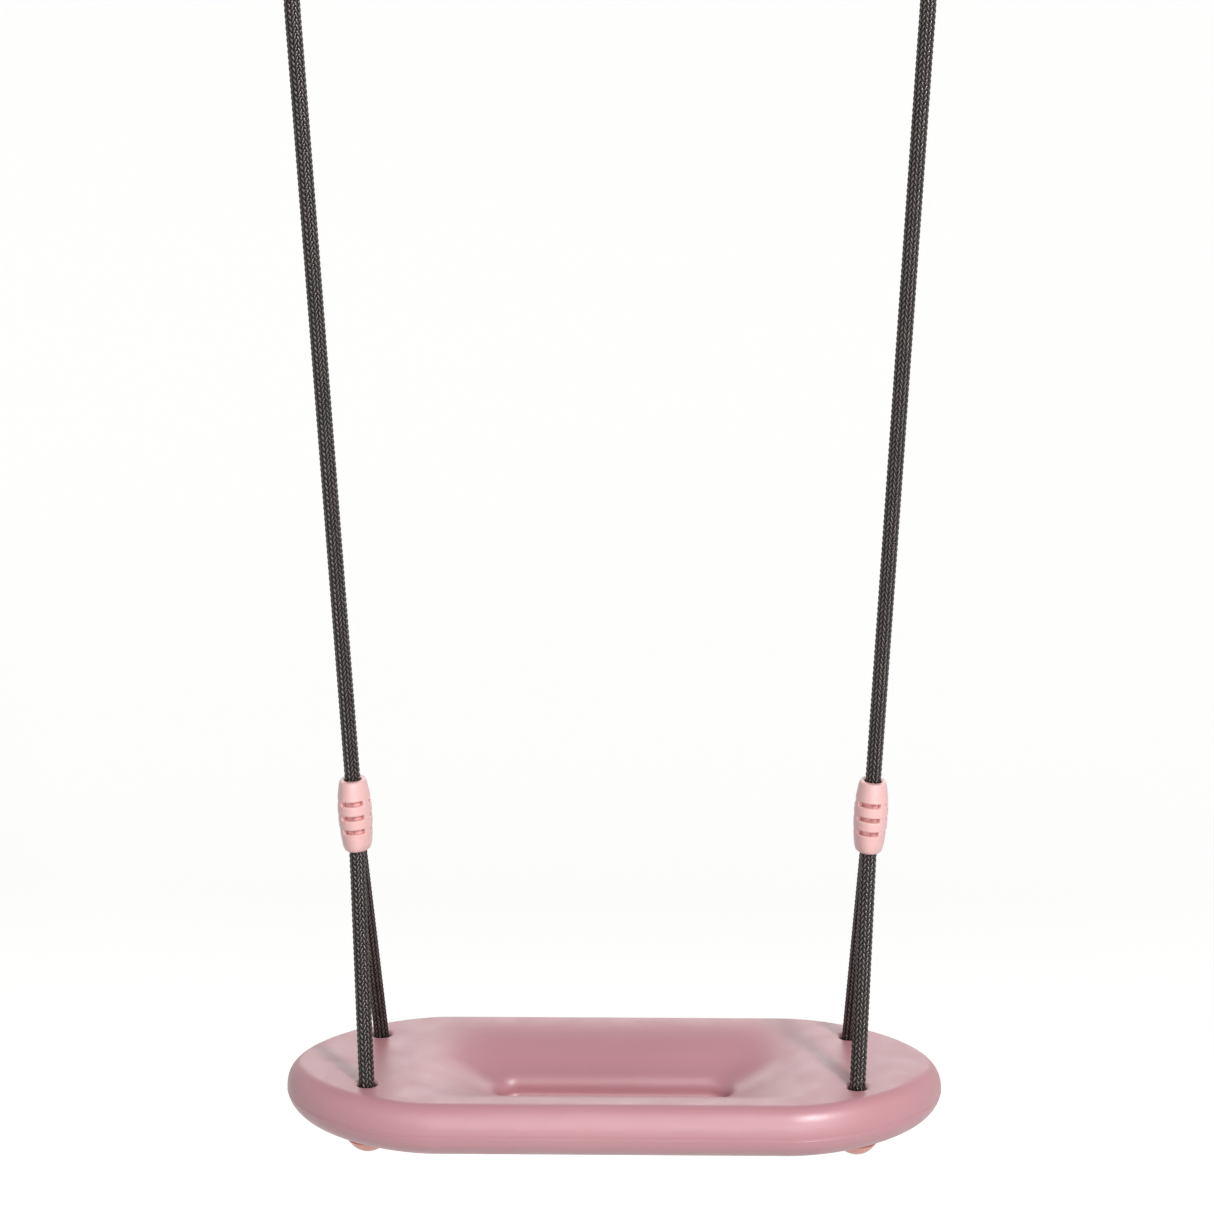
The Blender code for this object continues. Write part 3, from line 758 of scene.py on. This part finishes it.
def front_dish(y):
    """Depth of the front half: a flat strip behind the rim's crest, then an even slope."""

    def ramp(inward):
        return (np.sqrt((inward - FRONT_FLAT) ** 2 + FRONT_BEND**2) + inward - FRONT_FLAT) / 2

    inward = np.clip(DISH_HALF_WIDTH - y, 0, None)
    return FRONT_SLOPE * (ramp(inward) - ramp(0.0))


def rounded_middle(depth, y):
    """The depth with its crease along the seat's middle rounded to a parabola."""
    edge = DISH_MIDDLE
    step = 0.0001
    slope = (depth(edge) - depth(edge + step)) / step
    return np.where(y < edge, depth(edge) + slope / (2 * edge) * (edge**2 - y**2), depth(y))


def dish(plan):
    """Height of the dished top at plan points, below the seat's top."""
    x, y = np.abs(plan[:, 0]), np.abs(plan[:, 1])
    rear = smoothstep(-DISH_MIDDLE, DISH_MIDDLE, plan[:, 1])
    across = rounded_middle(rear_dish, y) * rear + rounded_middle(front_dish, y) * (1 - rear)
    outward = y**2 / DISH_HALF_WIDTH
    start, end = (edge + spread * outward for edge, spread in zip(DISH_FADE, DISH_FADE_SPREAD))
    return -across * (1 - smoothstep(start, end, x))


def seat_rings():
    """Rings of points from the pocket's floor up over the dish and down the rim to the underside."""
    rings = []

    def add(plan, z):
        rings.append(np.column_stack([plan, np.broadcast_to(z, len(plan))]))

    edge, outward = pocket_outline()
    probe = 0.0005
    away = POCKET_LIP_RADIUS * 0.5
    rise = dish(edge + outward * (away + probe)) - dish(edge + outward * (away - probe))
    tilt = np.arctan2(rise, 2 * probe)
    centre_out = POCKET_LIP_RADIUS * math.cos(POCKET_DRAFT)
    start_out = centre_out - POCKET_LIP_RADIUS * np.sin(tilt)
    start_plan = edge + outward * start_out[:, None]
    centre_z = dish(start_plan) - POCKET_LIP_RADIUS * np.cos(tilt)
    wall_turn = math.pi / 2 - POCKET_DRAFT
    wall_top = centre_z + POCKET_LIP_RADIUS * math.cos(wall_turn)
    floor_top = -POCKET_DEPTH + POCKET_FLOOR_RADIUS * (1 - math.sin(POCKET_DRAFT))
    wall_in = (wall_top - floor_top) * math.tan(POCKET_DRAFT)
    floor_centre_in = wall_in + POCKET_FLOOR_RADIUS * math.cos(POCKET_DRAFT)
    for step in range(7):
        angle = wall_turn * step / 6
        inward = floor_centre_in - POCKET_FLOOR_RADIUS * math.sin(angle)
        z = -POCKET_DEPTH + POCKET_FLOOR_RADIUS * (1 - math.cos(angle))
        add(edge - outward * inward[:, None], z)
    for step in range(1, 6):
        share = step / 6
        add(edge - outward * (wall_in * (1 - share))[:, None], floor_top + (wall_top - floor_top) * share)
    for step in range(13):
        angle = wall_turn + (tilt - wall_turn) * step / 12
        out = centre_out - POCKET_LIP_RADIUS * np.sin(angle)
        add(edge + outward * out[:, None], centre_z + POCKET_LIP_RADIUS * np.cos(angle))
    crest = outline(RIM_INSET_TOP)
    for step in range(1, TOP_STEPS):
        share = step / TOP_STEPS
        share = share + 0.12 * math.sin(2 * math.pi * share) / (2 * math.pi)
        plan = start_plan * (1 - share) + crest * share
        add(plan, dish(plan))
    for step in range(24):
        angle = math.pi / 2 * (1 - step / 24)
        add(
            outline(RIM_INSET_TOP * (1 - math.cos(angle))),
            RIM_WIDEST_DEPTH * (math.sin(angle) - 1),
        )
    for drop, inset in PARTING_LINE:
        add(outline(inset), -RIM_WIDEST_DEPTH - drop)
    lower = SEAT_THICKNESS - RIM_WIDEST_DEPTH
    for step in range(4, 25):
        angle = math.pi / 2 * step / 24
        add(
            outline(RIM_INSET_BOTTOM * (1 - math.cos(angle))),
            -RIM_WIDEST_DEPTH - lower * math.sin(angle),
        )
    return rings


def seat_cutters():
    """The four rope holes with rounded mouths and counterbores, and the vent."""
    mouth = HOLE_MOUTH_RADIUS - HOLE_RADIUS
    cutters = []
    for x, y in rope_holes():
        flare = []
        for step in range(9):
            angle = math.pi / 2 * step / 8
            radius = HOLE_MOUTH_RADIUS - mouth * math.sin(angle)
            flare.append((radius, -HOLE_MOUTH_DEPTH * (1 - math.cos(angle))))
        profile = [
            (0.0, 2 * CUTTER_OVERRUN),
            (HOLE_MOUTH_RADIUS, 2 * CUTTER_OVERRUN),
            *flare,
            (HOLE_RADIUS, -HOLE_LENGTH),
            (COUNTERBORE_RADIUS, -HOLE_LENGTH),
            (COUNTERBORE_RADIUS, -SEAT_THICKNESS - CUTTER_OVERRUN),
            (0.0, -SEAT_THICKNESS - CUTTER_OVERRUN),
        ]
        cutter = lathe("hole_cutter", profile, SEAT_PLASTIC, steps=64)
        cutters.append(settle(cutter, Matrix.Translation((x, y, 0.0))))
    vent = [
        (0.0, -SEAT_THICKNESS + VENT_DEPTH),
        (VENT_RADIUS, -SEAT_THICKNESS + VENT_DEPTH),
        (VENT_RADIUS, -SEAT_THICKNESS - CUTTER_OVERRUN),
        (0.0, -SEAT_THICKNESS - CUTTER_OVERRUN),
    ]
    cutter = lathe("vent_cutter", vent, SEAT_PLASTIC, steps=40)
    cutters.append(settle(cutter, Matrix.Translation((VENT_X, 0.0, 0.0))))
    return cutters


def rope_holes():
    return [(x, y) for x in (-HOLE_X, HOLE_X) for y in (-HOLE_Y, HOLE_Y)]


def build_seat():
    rings = seat_rings()
    columns = len(rings[0])
    verts = np.vstack(rings)
    faces = ring_faces(len(rings), columns)
    faces.append(tuple(reversed(range(columns))))
    faces.append(tuple(range((len(rings) - 1) * columns, len(rings) * columns)))
    seat = new_object("moulded_seat", verts, faces, SEAT_PLASTIC)
    finish_mesh(seat)
    cutters = seat_cutters()
    for cutter in cutters:
        modifier = seat.modifiers.new(cutter.name, "BOOLEAN")
        modifier.operation = "DIFFERENCE"
        modifier.solver = "MANIFOLD"
        modifier.object = cutter
    apply_modifiers(seat)
    for cutter in cutters:
        bpy.data.objects.remove(cutter, do_unlink=True)
    seat.data.shade_smooth()
    seat.data.set_sharp_from_angle(angle=math.radians(32.0))
    settle(seat, Matrix.Translation((0.0, 0.0, SEAT_TOP_Z)))
    put(seat, "swing", "seat_plastic", "seat")


def build_hole_fittings():
    for x, y in rope_holes():
        where = ("front" if y < 0 else "rear") + ("_left" if x < 0 else "_right")
        spot = Matrix.Translation((x, y, SEAT_TOP_Z))
        top = -HOLE_LENGTH - GAP
        inner, outer = WASHER_RADII
        edge = 0.0003
        profile = [
            *arc((outer - edge, top - edge), edge, 90, 0, 3),
            *arc((outer - edge, top - WASHER_THICKNESS + edge), edge, 0, -90, 3),
            *arc((inner + edge, top - WASHER_THICKNESS + edge), edge, 270, 180, 3),
            *arc((inner + edge, top - edge), edge, 180, 90, 3),
        ]
        washer = lathe("knot_washer_plate_" + where, profile, ZINC_STEEL, closed=True)
        put(settle(washer, spot), "swing", "zinc_steel", "knot_washer_" + where)
        build_knot(where, x, y, top - WASHER_THICKNESS - 2 * GAP - 0.0009)
        build_cap(where, spot)


def build_knot(where, x, y, top):
    """The rope's mushroomed stopper end, braided and melted."""
    steps = 40
    share = np.linspace(KNOT_TIP_SHARE, 1 - KNOT_TIP_SHARE, steps)
    route = np.column_stack(
        [np.full(steps, x), np.full(steps, y), SEAT_TOP_Z + top - KNOT_HEIGHT * (1 - share)]
    )
    swell = KNOT_RADIUS / (ROPE_VALLEY_RADIUS + ROPE_RELIEF)

    def bulb(position):
        height = (KNOT_TIP_SHARE + (1 - 2 * KNOT_TIP_SHARE) * position) * 2 - 1
        return swell * np.sqrt(np.clip(1 - height**2, 0.0, 1))

    knot = braid("stopper_knot_" + where, route, ROPE_YARN, bulb, seed=31)
    put(knot, "swing", "rope_yarn", "rope_knot_" + where)


def build_cap(where, spot):
    """A domed plug with a rounded edge and a small gate mark."""
    base = -SEAT_THICKNESS - 2 * GAP
    ball = (CAP_RADIUS**2 + CAP_DOME_HEIGHT**2) / (2 * CAP_DOME_HEIGHT)
    spread = math.asin(CAP_RADIUS / ball)
    dome = []
    for step in range(28):
        angle = spread * step / 27
        dip = 0.00025 if step == 2 else 0.0
        dome.append((ball * math.sin(angle), base - CAP_DOME_HEIGHT + ball * (1 - math.cos(angle)) + dip))
    rim_radius = 0.0006
    dome = [point for point in dome if point[0] < CAP_RADIUS - rim_radius * 1.6]
    rim = arc((CAP_RADIUS - rim_radius, base - rim_radius), rim_radius, -40, 90, 6)
    outer = COUNTERBORE_RADIUS - GAP
    inner = outer - CAP_WALL
    top = base + CAP_SPIGOT_LENGTH
    profile = [
        *dome,
        *rim,
        (outer, base),
        (outer, top - 0.0004),
        (outer - 0.0004, top),
        (inner + 0.0003, top),
        (inner, top - 0.0003),
        (inner, base - 0.0004),
        (inner * 0.7, base - CAP_DOME_HEIGHT * 0.45 + CAP_WALL * 0.4),
        (0.0, base - CAP_DOME_HEIGHT + CAP_WALL),
    ]
    cap = lathe("domed_cap_" + where, profile, CAP_PLASTIC, steps=80)
    put(settle(cap, spot), "swing", "cap_plastic", "knot_cap_" + where)


# ------------ clamps


def clamp_radius(heights):
    known = smooth_route([(z, 0.0, radius) for z, radius in CLAMP_PROFILE])
    return np.interp(heights, known[:, 0], known[:, 2])


def slot_columns(turn):
    """Angles round the sleeve, with the slots' ends on lines of their own, and which columns are slots."""
    halves = (FRONT_SLOT_HALF_ANGLE, SIDE_SLOT_HALF_ANGLE) * 2
    angles, cut = [], []
    for face in range(4):
        centre = face * math.pi / 2 + turn
        half, following = halves[face], halves[(face + 1) % 4]
        steps = 20 if face % 2 == 0 else 10
        angles += list(np.linspace(centre - half, centre + half, steps + 1)[:-1])
        cut += [True] * steps
        post = np.linspace(centre + half, centre + math.pi / 2 - following, 9)
        angles += list(post[:-1])
        cut += [False] * 8
    return np.array(angles), cut


def slot_rows():
    """Heights up the sleeve, with the slots' edges on lines of their own, and which rows are slots."""
    middle = CLAMP_LENGTH / 2
    edges = [middle + row * SLOT_PITCH + side * SLOT_HEIGHT / 2 for row in (-1, 0, 1) for side in (-1, 1)]
    heights = [z for z, _ in CLAMP_PROFILE[:3]]
    cut = [False] * 3
    stops = [(0.0033, edges[0], 12, False)]
    for row in range(3):
        stops.append((edges[2 * row], edges[2 * row + 1], 4, True))
        if row < 2:
            stops.append((edges[2 * row + 1], edges[2 * row + 2], 8, False))
    bore_top = CLAMP_LENGTH - CLAMP_LIP_LENGTH
    stops.append((edges[5], bore_top, 12, False))
    for start, stop, steps, is_slot in stops:
        heights += list(np.linspace(start, stop, steps + 1)[:-1])
        cut += [is_slot] * steps
    bore_count = len(heights) + 1
    heights += [bore_top, *(CLAMP_LENGTH - drop for drop in CLAMP_TOP_DROPS)]
    cut += [False] * (1 + len(CLAMP_TOP_DROPS))
    return np.array(heights), cut, bore_count


def build_sleeve(label, side):
    angles, slot_column = slot_columns(SLOT_TURN[label])
    heights, slot_row, bore_count = slot_rows()
    radii = clamp_radius(heights)
    across, depth = np.sin(angles), -np.cos(angles)
    columns = len(angles)
    rings = []
    for z, radius in zip(heights, radii):
        ring = [across * radius, depth * (radius + CLAMP_EXTRA_DEPTH), np.full(columns, z)]
        rings.append(np.column_stack(ring))
    lip = np.column_stack([across * CLAMP_LIP_RADIUS, depth * CLAMP_LIP_RADIUS, np.full(columns, 0.0)])
    rim = rings[-1]
    for share, dip in CLAMP_LIP_RINGS:
        ring = rim * (1 - share) + lip * share
        ring[:, 2] = CLAMP_LENGTH - dip
        rings.append(ring)
    bore_top = CLAMP_LENGTH - CLAMP_LIP_LENGTH
    for z in (CLAMP_LENGTH - 0.0013, CLAMP_LENGTH - 0.0026, bore_top):
        ring = lip.copy()
        ring[:, 2] = z
        rings.append(ring)
    first_bore = len(rings)
    for z in heights[:bore_count][::-1]:
        bore = [across * CLAMP_BORE_RADII[0], depth * CLAMP_BORE_RADII[1], np.full(columns, z)]
        rings.append(np.column_stack(bore))
    count = len(rings)

    def bore_ring(row):
        return first_bore + bore_count - 1 - row

    def is_slot(row, step):
        return 0 <= row < len(slot_row) and slot_row[row] and slot_column[step % columns]

    hidden = set()
    faces = []
    for row in range(bore_count - 1):
        for step in range(columns):
            if is_slot(row, step):
                hidden.add((row, step))
                hidden.add((bore_ring(row + 1), step))
    for ring in range(count):
        above = (ring + 1) % count
        for step in range(columns):
            after = (step + 1) % columns
            if (ring, step) not in hidden:
                corners = (ring, step), (ring, after), (above, after), (above, step)
                faces.append(tuple(r * columns + s for r, s in corners))
    for row in range(bore_count - 1):
        for step in range(columns):
            if not is_slot(row, step):
                continue
            after = (step + 1) % columns
            low, high = row, row + 1
            walls = (
                (is_slot(row - 1, step), (low, step), (low, after)),
                (is_slot(row + 1, step), (high, after), (high, step)),
                (is_slot(row, step - 1), (high, step), (low, step)),
                (is_slot(row, step + 1), (low, after), (high, after)),
            )
            for open_side, first, second in walls:
                if not open_side:
                    outside = [row_of * columns + at for row_of, at in (first, second)]
                    inside = [bore_ring(row_of) * columns + at for row_of, at in (second, first)]
                    faces.append((*outside, *inside))
    sleeve = new_object("slotted_sleeve_" + label, np.vstack(rings), faces, CLAMP_PLASTIC)
    finish_mesh(sleeve)
    bevel = sleeve.modifiers.new("soft_edges", "BEVEL")
    bevel.width = CLAMP_EDGE_RADIUS
    bevel.segments = 3
    bevel.limit_method = "ANGLE"
    bevel.angle_limit = math.radians(50.0)
    apply_modifiers(sleeve)
    finish_mesh(sleeve, 50.0)
    settle(sleeve, rope_frame(side) @ Matrix.Translation((0.0, 0.0, CLAMP_BOTTOM)))
    put(sleeve, "clamp_" + label, "clamp_plastic", "clamp_sleeve_" + label)


def build_core(label, side, half, direction):
    """One half of the core, hollowed for the ropes that run through it."""
    start = CLAMP_BOTTOM + 0.001
    space = ROPE_DIAMETER / 2 + GAP
    line = smooth_route([*STRAND_ROUTE, *MAIN_ROUTE_ABOVE_CLAMP[:CORE_ROUTE_POINTS]])
    share = np.linspace(-1, 1, 49)
    y = CORE_RADII[1] * np.sin(share * math.pi / 2)
    heights = np.linspace(start, start + CORE_LENGTH, 25)
    outer_rows, inner_rows = [], []
    for z in heights:
        main_y = np.interp(z, line[:, 2], line[:, 1])
        outer = CORE_RADII[0] * np.sqrt(np.clip(1 - (y / CORE_RADII[1]) ** 2, 0, 1))
        inner = np.full_like(y, GAP / 2)
        for centre, present in ((main_y, True), (-TAIL_END[1], z < TAIL_END[2] + 0.002)):
            if present:
                inner = np.maximum(inner, np.sqrt(np.clip(space**2 - (y - centre) ** 2, 0, None)))
        outer = np.maximum(outer, inner + 0.00005)
        outer_rows.append(np.column_stack([outer * direction, y, np.full_like(y, z)]))
        inner_rows.append(np.column_stack([inner * direction, y, np.full_like(y, z)]))
    verts = np.vstack([*outer_rows, *inner_rows])
    wide, tall = len(y), len(heights)
    back = wide * tall
    faces = []
    for row in range(tall - 1):
        for step in range(wide - 1):
            spot = row * wide + step
            faces.append((spot, spot + 1, spot + 1 + wide, spot + wide))
            faces.append((back + spot, back + spot + wide, back + spot + 1 + wide, back + spot + 1))
    for step in range(wide - 1):
        top = (tall - 1) * wide + step
        faces.append((step, back + step, back + step + 1, step + 1))
        faces.append((top, top + 1, back + top + 1, back + top))
    for row in range(tall - 1):
        low, high = row * wide, (row + 1) * wide
        faces.append((low, high, back + high, back + low))
        low, high = low + wide - 1, high + wide - 1
        faces.append((low, back + low, back + high, high))
    core = new_object(f"grip_core_{half}_{label}", verts, faces, CORE_PLASTIC)
    finish_mesh(core)
    # band: painted reflection, strongest where the halves meet (x near 0), the line that faces the front and
    # back slots
    layer = core.data.attributes.new("band", "FLOAT", "POINT")
    band = 0.75 * (1 - smoothstep(0.0010, 0.0032, np.abs(verts[:, 0])))
    layer.data.foreach_set("value", band.astype(np.float32))
    settle(core, rope_frame(side))
    put(core, "swing", "clamp_plastic", f"clamp_core_{half}_{label}")


def build_clamps():
    for label, side in SIDES:
        build_sleeve(label, side)
        for half, direction in (("outer", 1), ("inner", -1)):
            build_core(label, side, half, direction)


# ------------ hanging hardware


def build_ring(label, side):
    """A welded ring: a round wire that swells a little at its weld, which lies at the bottom rear."""
    verts = []
    turns, wires = 128, 24
    for turn in range(turns):
        angle = 2 * math.pi * turn / turns
        weld = math.exp(-(((angle - math.radians(215)) / 0.055) ** 2))
        wire = RING_WIRE_RADIUS * (1 - 0.012) + 0.00018 * weld
        for step in range(wires):
            around = 2 * math.pi * step / wires
            reach = RING_RADIUS + wire * math.cos(around)
            verts.append((wire * math.sin(around), reach * math.cos(angle), reach * math.sin(angle)))
    ring = new_object("steel_ring_" + label, verts, ring_faces(turns, wires, True), ZINC_STEEL)
    finish_mesh(ring)
    settle(ring, Matrix.Translation((side * RING_X, 0.0, 0.0)))
    put(ring, "hang_rings", "zinc_steel", "hanging_ring_" + label)


def build_thimble(label, side):
    half = THIMBLE_WIDTH / 2
    groove = THIMBLE_GROOVE_RADIUS
    gap = math.sqrt(groove**2 - (EYE_RADIUS - THIMBLE_RADIUS) ** 2)
    start = math.degrees(math.atan2(gap, THIMBLE_RADIUS - EYE_RADIUS))
    edge = 0.0005
    profile = [
        *arc((EYE_RADIUS, 0.0), groove, start, 360 - start, 20),
        *arc((THIMBLE_RADIUS - edge, -half + edge), edge, 0, -90, 3),
        *arc((THIMBLE_BORE_RADIUS + 0.0012, -half + 0.0012), 0.0012, 270, 180, 5),
        *arc((THIMBLE_BORE_RADIUS + 0.0012, half - 0.0012), 0.0012, 180, 90, 5),
        *arc((THIMBLE_RADIUS - edge, half - edge), edge, 90, 0, 3),
    ]
    thimble = lathe("rope_eye_thimble_" + label, profile, THIMBLE_PLASTIC, steps=96, closed=True)
    drop = Matrix.Translation((0.0, 0.0, ROPE_LINE_LENGTH - THIMBLE_DROP))
    settle(thimble, rope_frame(side) @ drop @ Matrix.Rotation(math.pi / 2, 4, "X"))
    put(thimble, "swing", "thimble_plastic", "rope_thimble_" + label)


def build_ferrule(label, side):
    """An oval sleeve pressed in three bands."""
    steps = 72
    across, depth = FERRULE_RADII
    edge = 0.0012
    rings = []
    outer = [(edge * (1 - math.cos(a)), edge * (1 - math.sin(a))) for a in np.linspace(0, math.pi / 2, 5)]
    heights = list(outer)
    for z in np.linspace(edge, FERRULE_LENGTH - edge, 44)[1:-1]:
        band = math.cos((z - edge) / (FERRULE_LENGTH - 2 * edge) * 2 * math.pi * 3) * 0.5 + 0.5
        heights.append((z, 0.0005 * (1 - band) ** 3))
    heights += [(FERRULE_LENGTH - z, inset) for z, inset in reversed(outer)]
    bore_across, bore_depth = FERRULE_BORE_RADII
    for z, inset in heights:
        rings.append((across - inset, depth - inset, z))
    flare_length = FERRULE_LENGTH - FERRULE_FLARE_START
    flare_top = FERRULE_BORE_FLARE * flare_length / (flare_length + FERRULE_FLARE_PAST)
    plain = FERRULE_FLARE_START
    for z, flare in ((FERRULE_LENGTH, flare_top), (plain, 0.0), (plain / 2, 0.0), (0.0, 0.0)):
        rings.append((bore_across + flare, bore_depth, z))
    angles = np.arange(steps) * 2 * math.pi / steps
    verts = [(rx * math.cos(a), ry * math.sin(a), z) for rx, ry, z in rings for a in angles]
    faces = ring_faces(len(rings), steps, True)
    ferrule = new_object("pressed_eye_ferrule_" + label, verts, faces, ALUMINIUM)
    finish_mesh(ferrule)
    drop = Matrix.Translation((0.0, 0.0, ROPE_LINE_LENGTH - FERRULE_TOP - FERRULE_LENGTH))
    settle(ferrule, rope_frame(side) @ drop)
    put(ferrule, "swing", "zinc_steel", "eye_ferrule_" + label)


def build_hardware():
    for label, side in SIDES:
        build_ring(label, side)
        build_thimble(label, side)
        build_ferrule(label, side)


# ------------ studio


def build_camera():
    data = bpy.data.cameras.new("camera")
    data.sensor_width = CAMERA_SENSOR
    data.lens = CAMERA_LENS
    data.clip_end = 50.0
    camera = bpy.data.objects.new("camera", data)
    bpy.context.scene.collection.objects.link(camera)
    ahead = Vector(
        (
            math.sin(CAMERA_YAW) * math.cos(CAMERA_PITCH),
            math.cos(CAMERA_YAW) * math.cos(CAMERA_PITCH),
            -math.sin(CAMERA_PITCH),
        )
    )
    level = ahead.cross(Vector((0.0, 0.0, 1.0))).normalized()
    over = level.cross(ahead)
    right = level * math.cos(CAMERA_ROLL) + over * math.sin(CAMERA_ROLL)
    up = over * math.cos(CAMERA_ROLL) - level * math.sin(CAMERA_ROLL)
    turn = Matrix((right, up, -ahead)).transposed().to_4x4()
    camera.matrix_world = Matrix.Translation(CAMERA_PLACE) @ turn
    bpy.context.scene.camera = camera


def soft_light(name, place, size, power):
    data = bpy.data.lights.new(name, "AREA")
    data.shape = "RECTANGLE"
    data.size, data.size_y = size
    data.energy = power
    light = bpy.data.objects.new(name, data)
    bpy.context.scene.collection.objects.link(light)
    way = Vector(LIGHT_TARGET) - Vector(place)
    light.matrix_world = Matrix.Translation(place) @ way.to_track_quat("-Z", "Y").to_matrix().to_4x4()
    light.visible_camera = False


def build_studio():
    scene = bpy.context.scene
    scene.view_settings.view_transform = "Standard"
    world = bpy.data.worlds.new("studio")
    world.use_nodes = True
    world.node_tree.nodes["Background"].inputs["Color"].default_value = (1.0, 1.0, 1.0, 1.0)
    world.node_tree.nodes["Background"].inputs["Strength"].default_value = WORLD_STRENGTH
    scene.world = world
    curve = arc((FLOOR_RADIUS, FLOOR_Z + FLOOR_CURVE), FLOOR_CURVE, -90, 0, 12)
    wall = [(FLOOR_RADIUS, FLOOR_Z), *curve[1:], (FLOOR_RADIUS + FLOOR_CURVE, WALL_TOP_Z)]
    steps = 96
    verts = [(0.0, 0.0, FLOOR_Z)]
    for radius, z in wall:
        for step in range(steps):
            angle = 2 * math.pi * step / steps
            verts.append((radius * math.cos(angle), radius * math.sin(angle), z))
    faces = [(0, 1 + step, 1 + (step + 1) % steps) for step in range(steps)]
    for ring in range(len(wall) - 1):
        for step in range(steps):
            after = (step + 1) % steps
            low, high = 1 + ring * steps, 1 + (ring + 1) * steps
            faces.append((low + step, high + step, high + after, low + after))
    nodes = Nodes("studio_floor")
    nodes.set(Base_Color=rgb("F7F7F6"), Roughness=0.9)
    nodes.shader.inputs["Emission Color"].default_value = (1.0, 1.0, 0.995, 1.0)
    nodes.shader.inputs["Emission Strength"].default_value = FLOOR_GLOW
    floor = new_object("studio_floor", verts, faces, nodes.material)
    floor.data.shade_smooth()
    floor.visible_diffuse = False
    for light in SOFT_LIGHTS:
        soft_light(*light)


build_camera()
build_hardware()
build_ropes()
build_seat()
build_hole_fittings()
build_clamps()
build_studio()
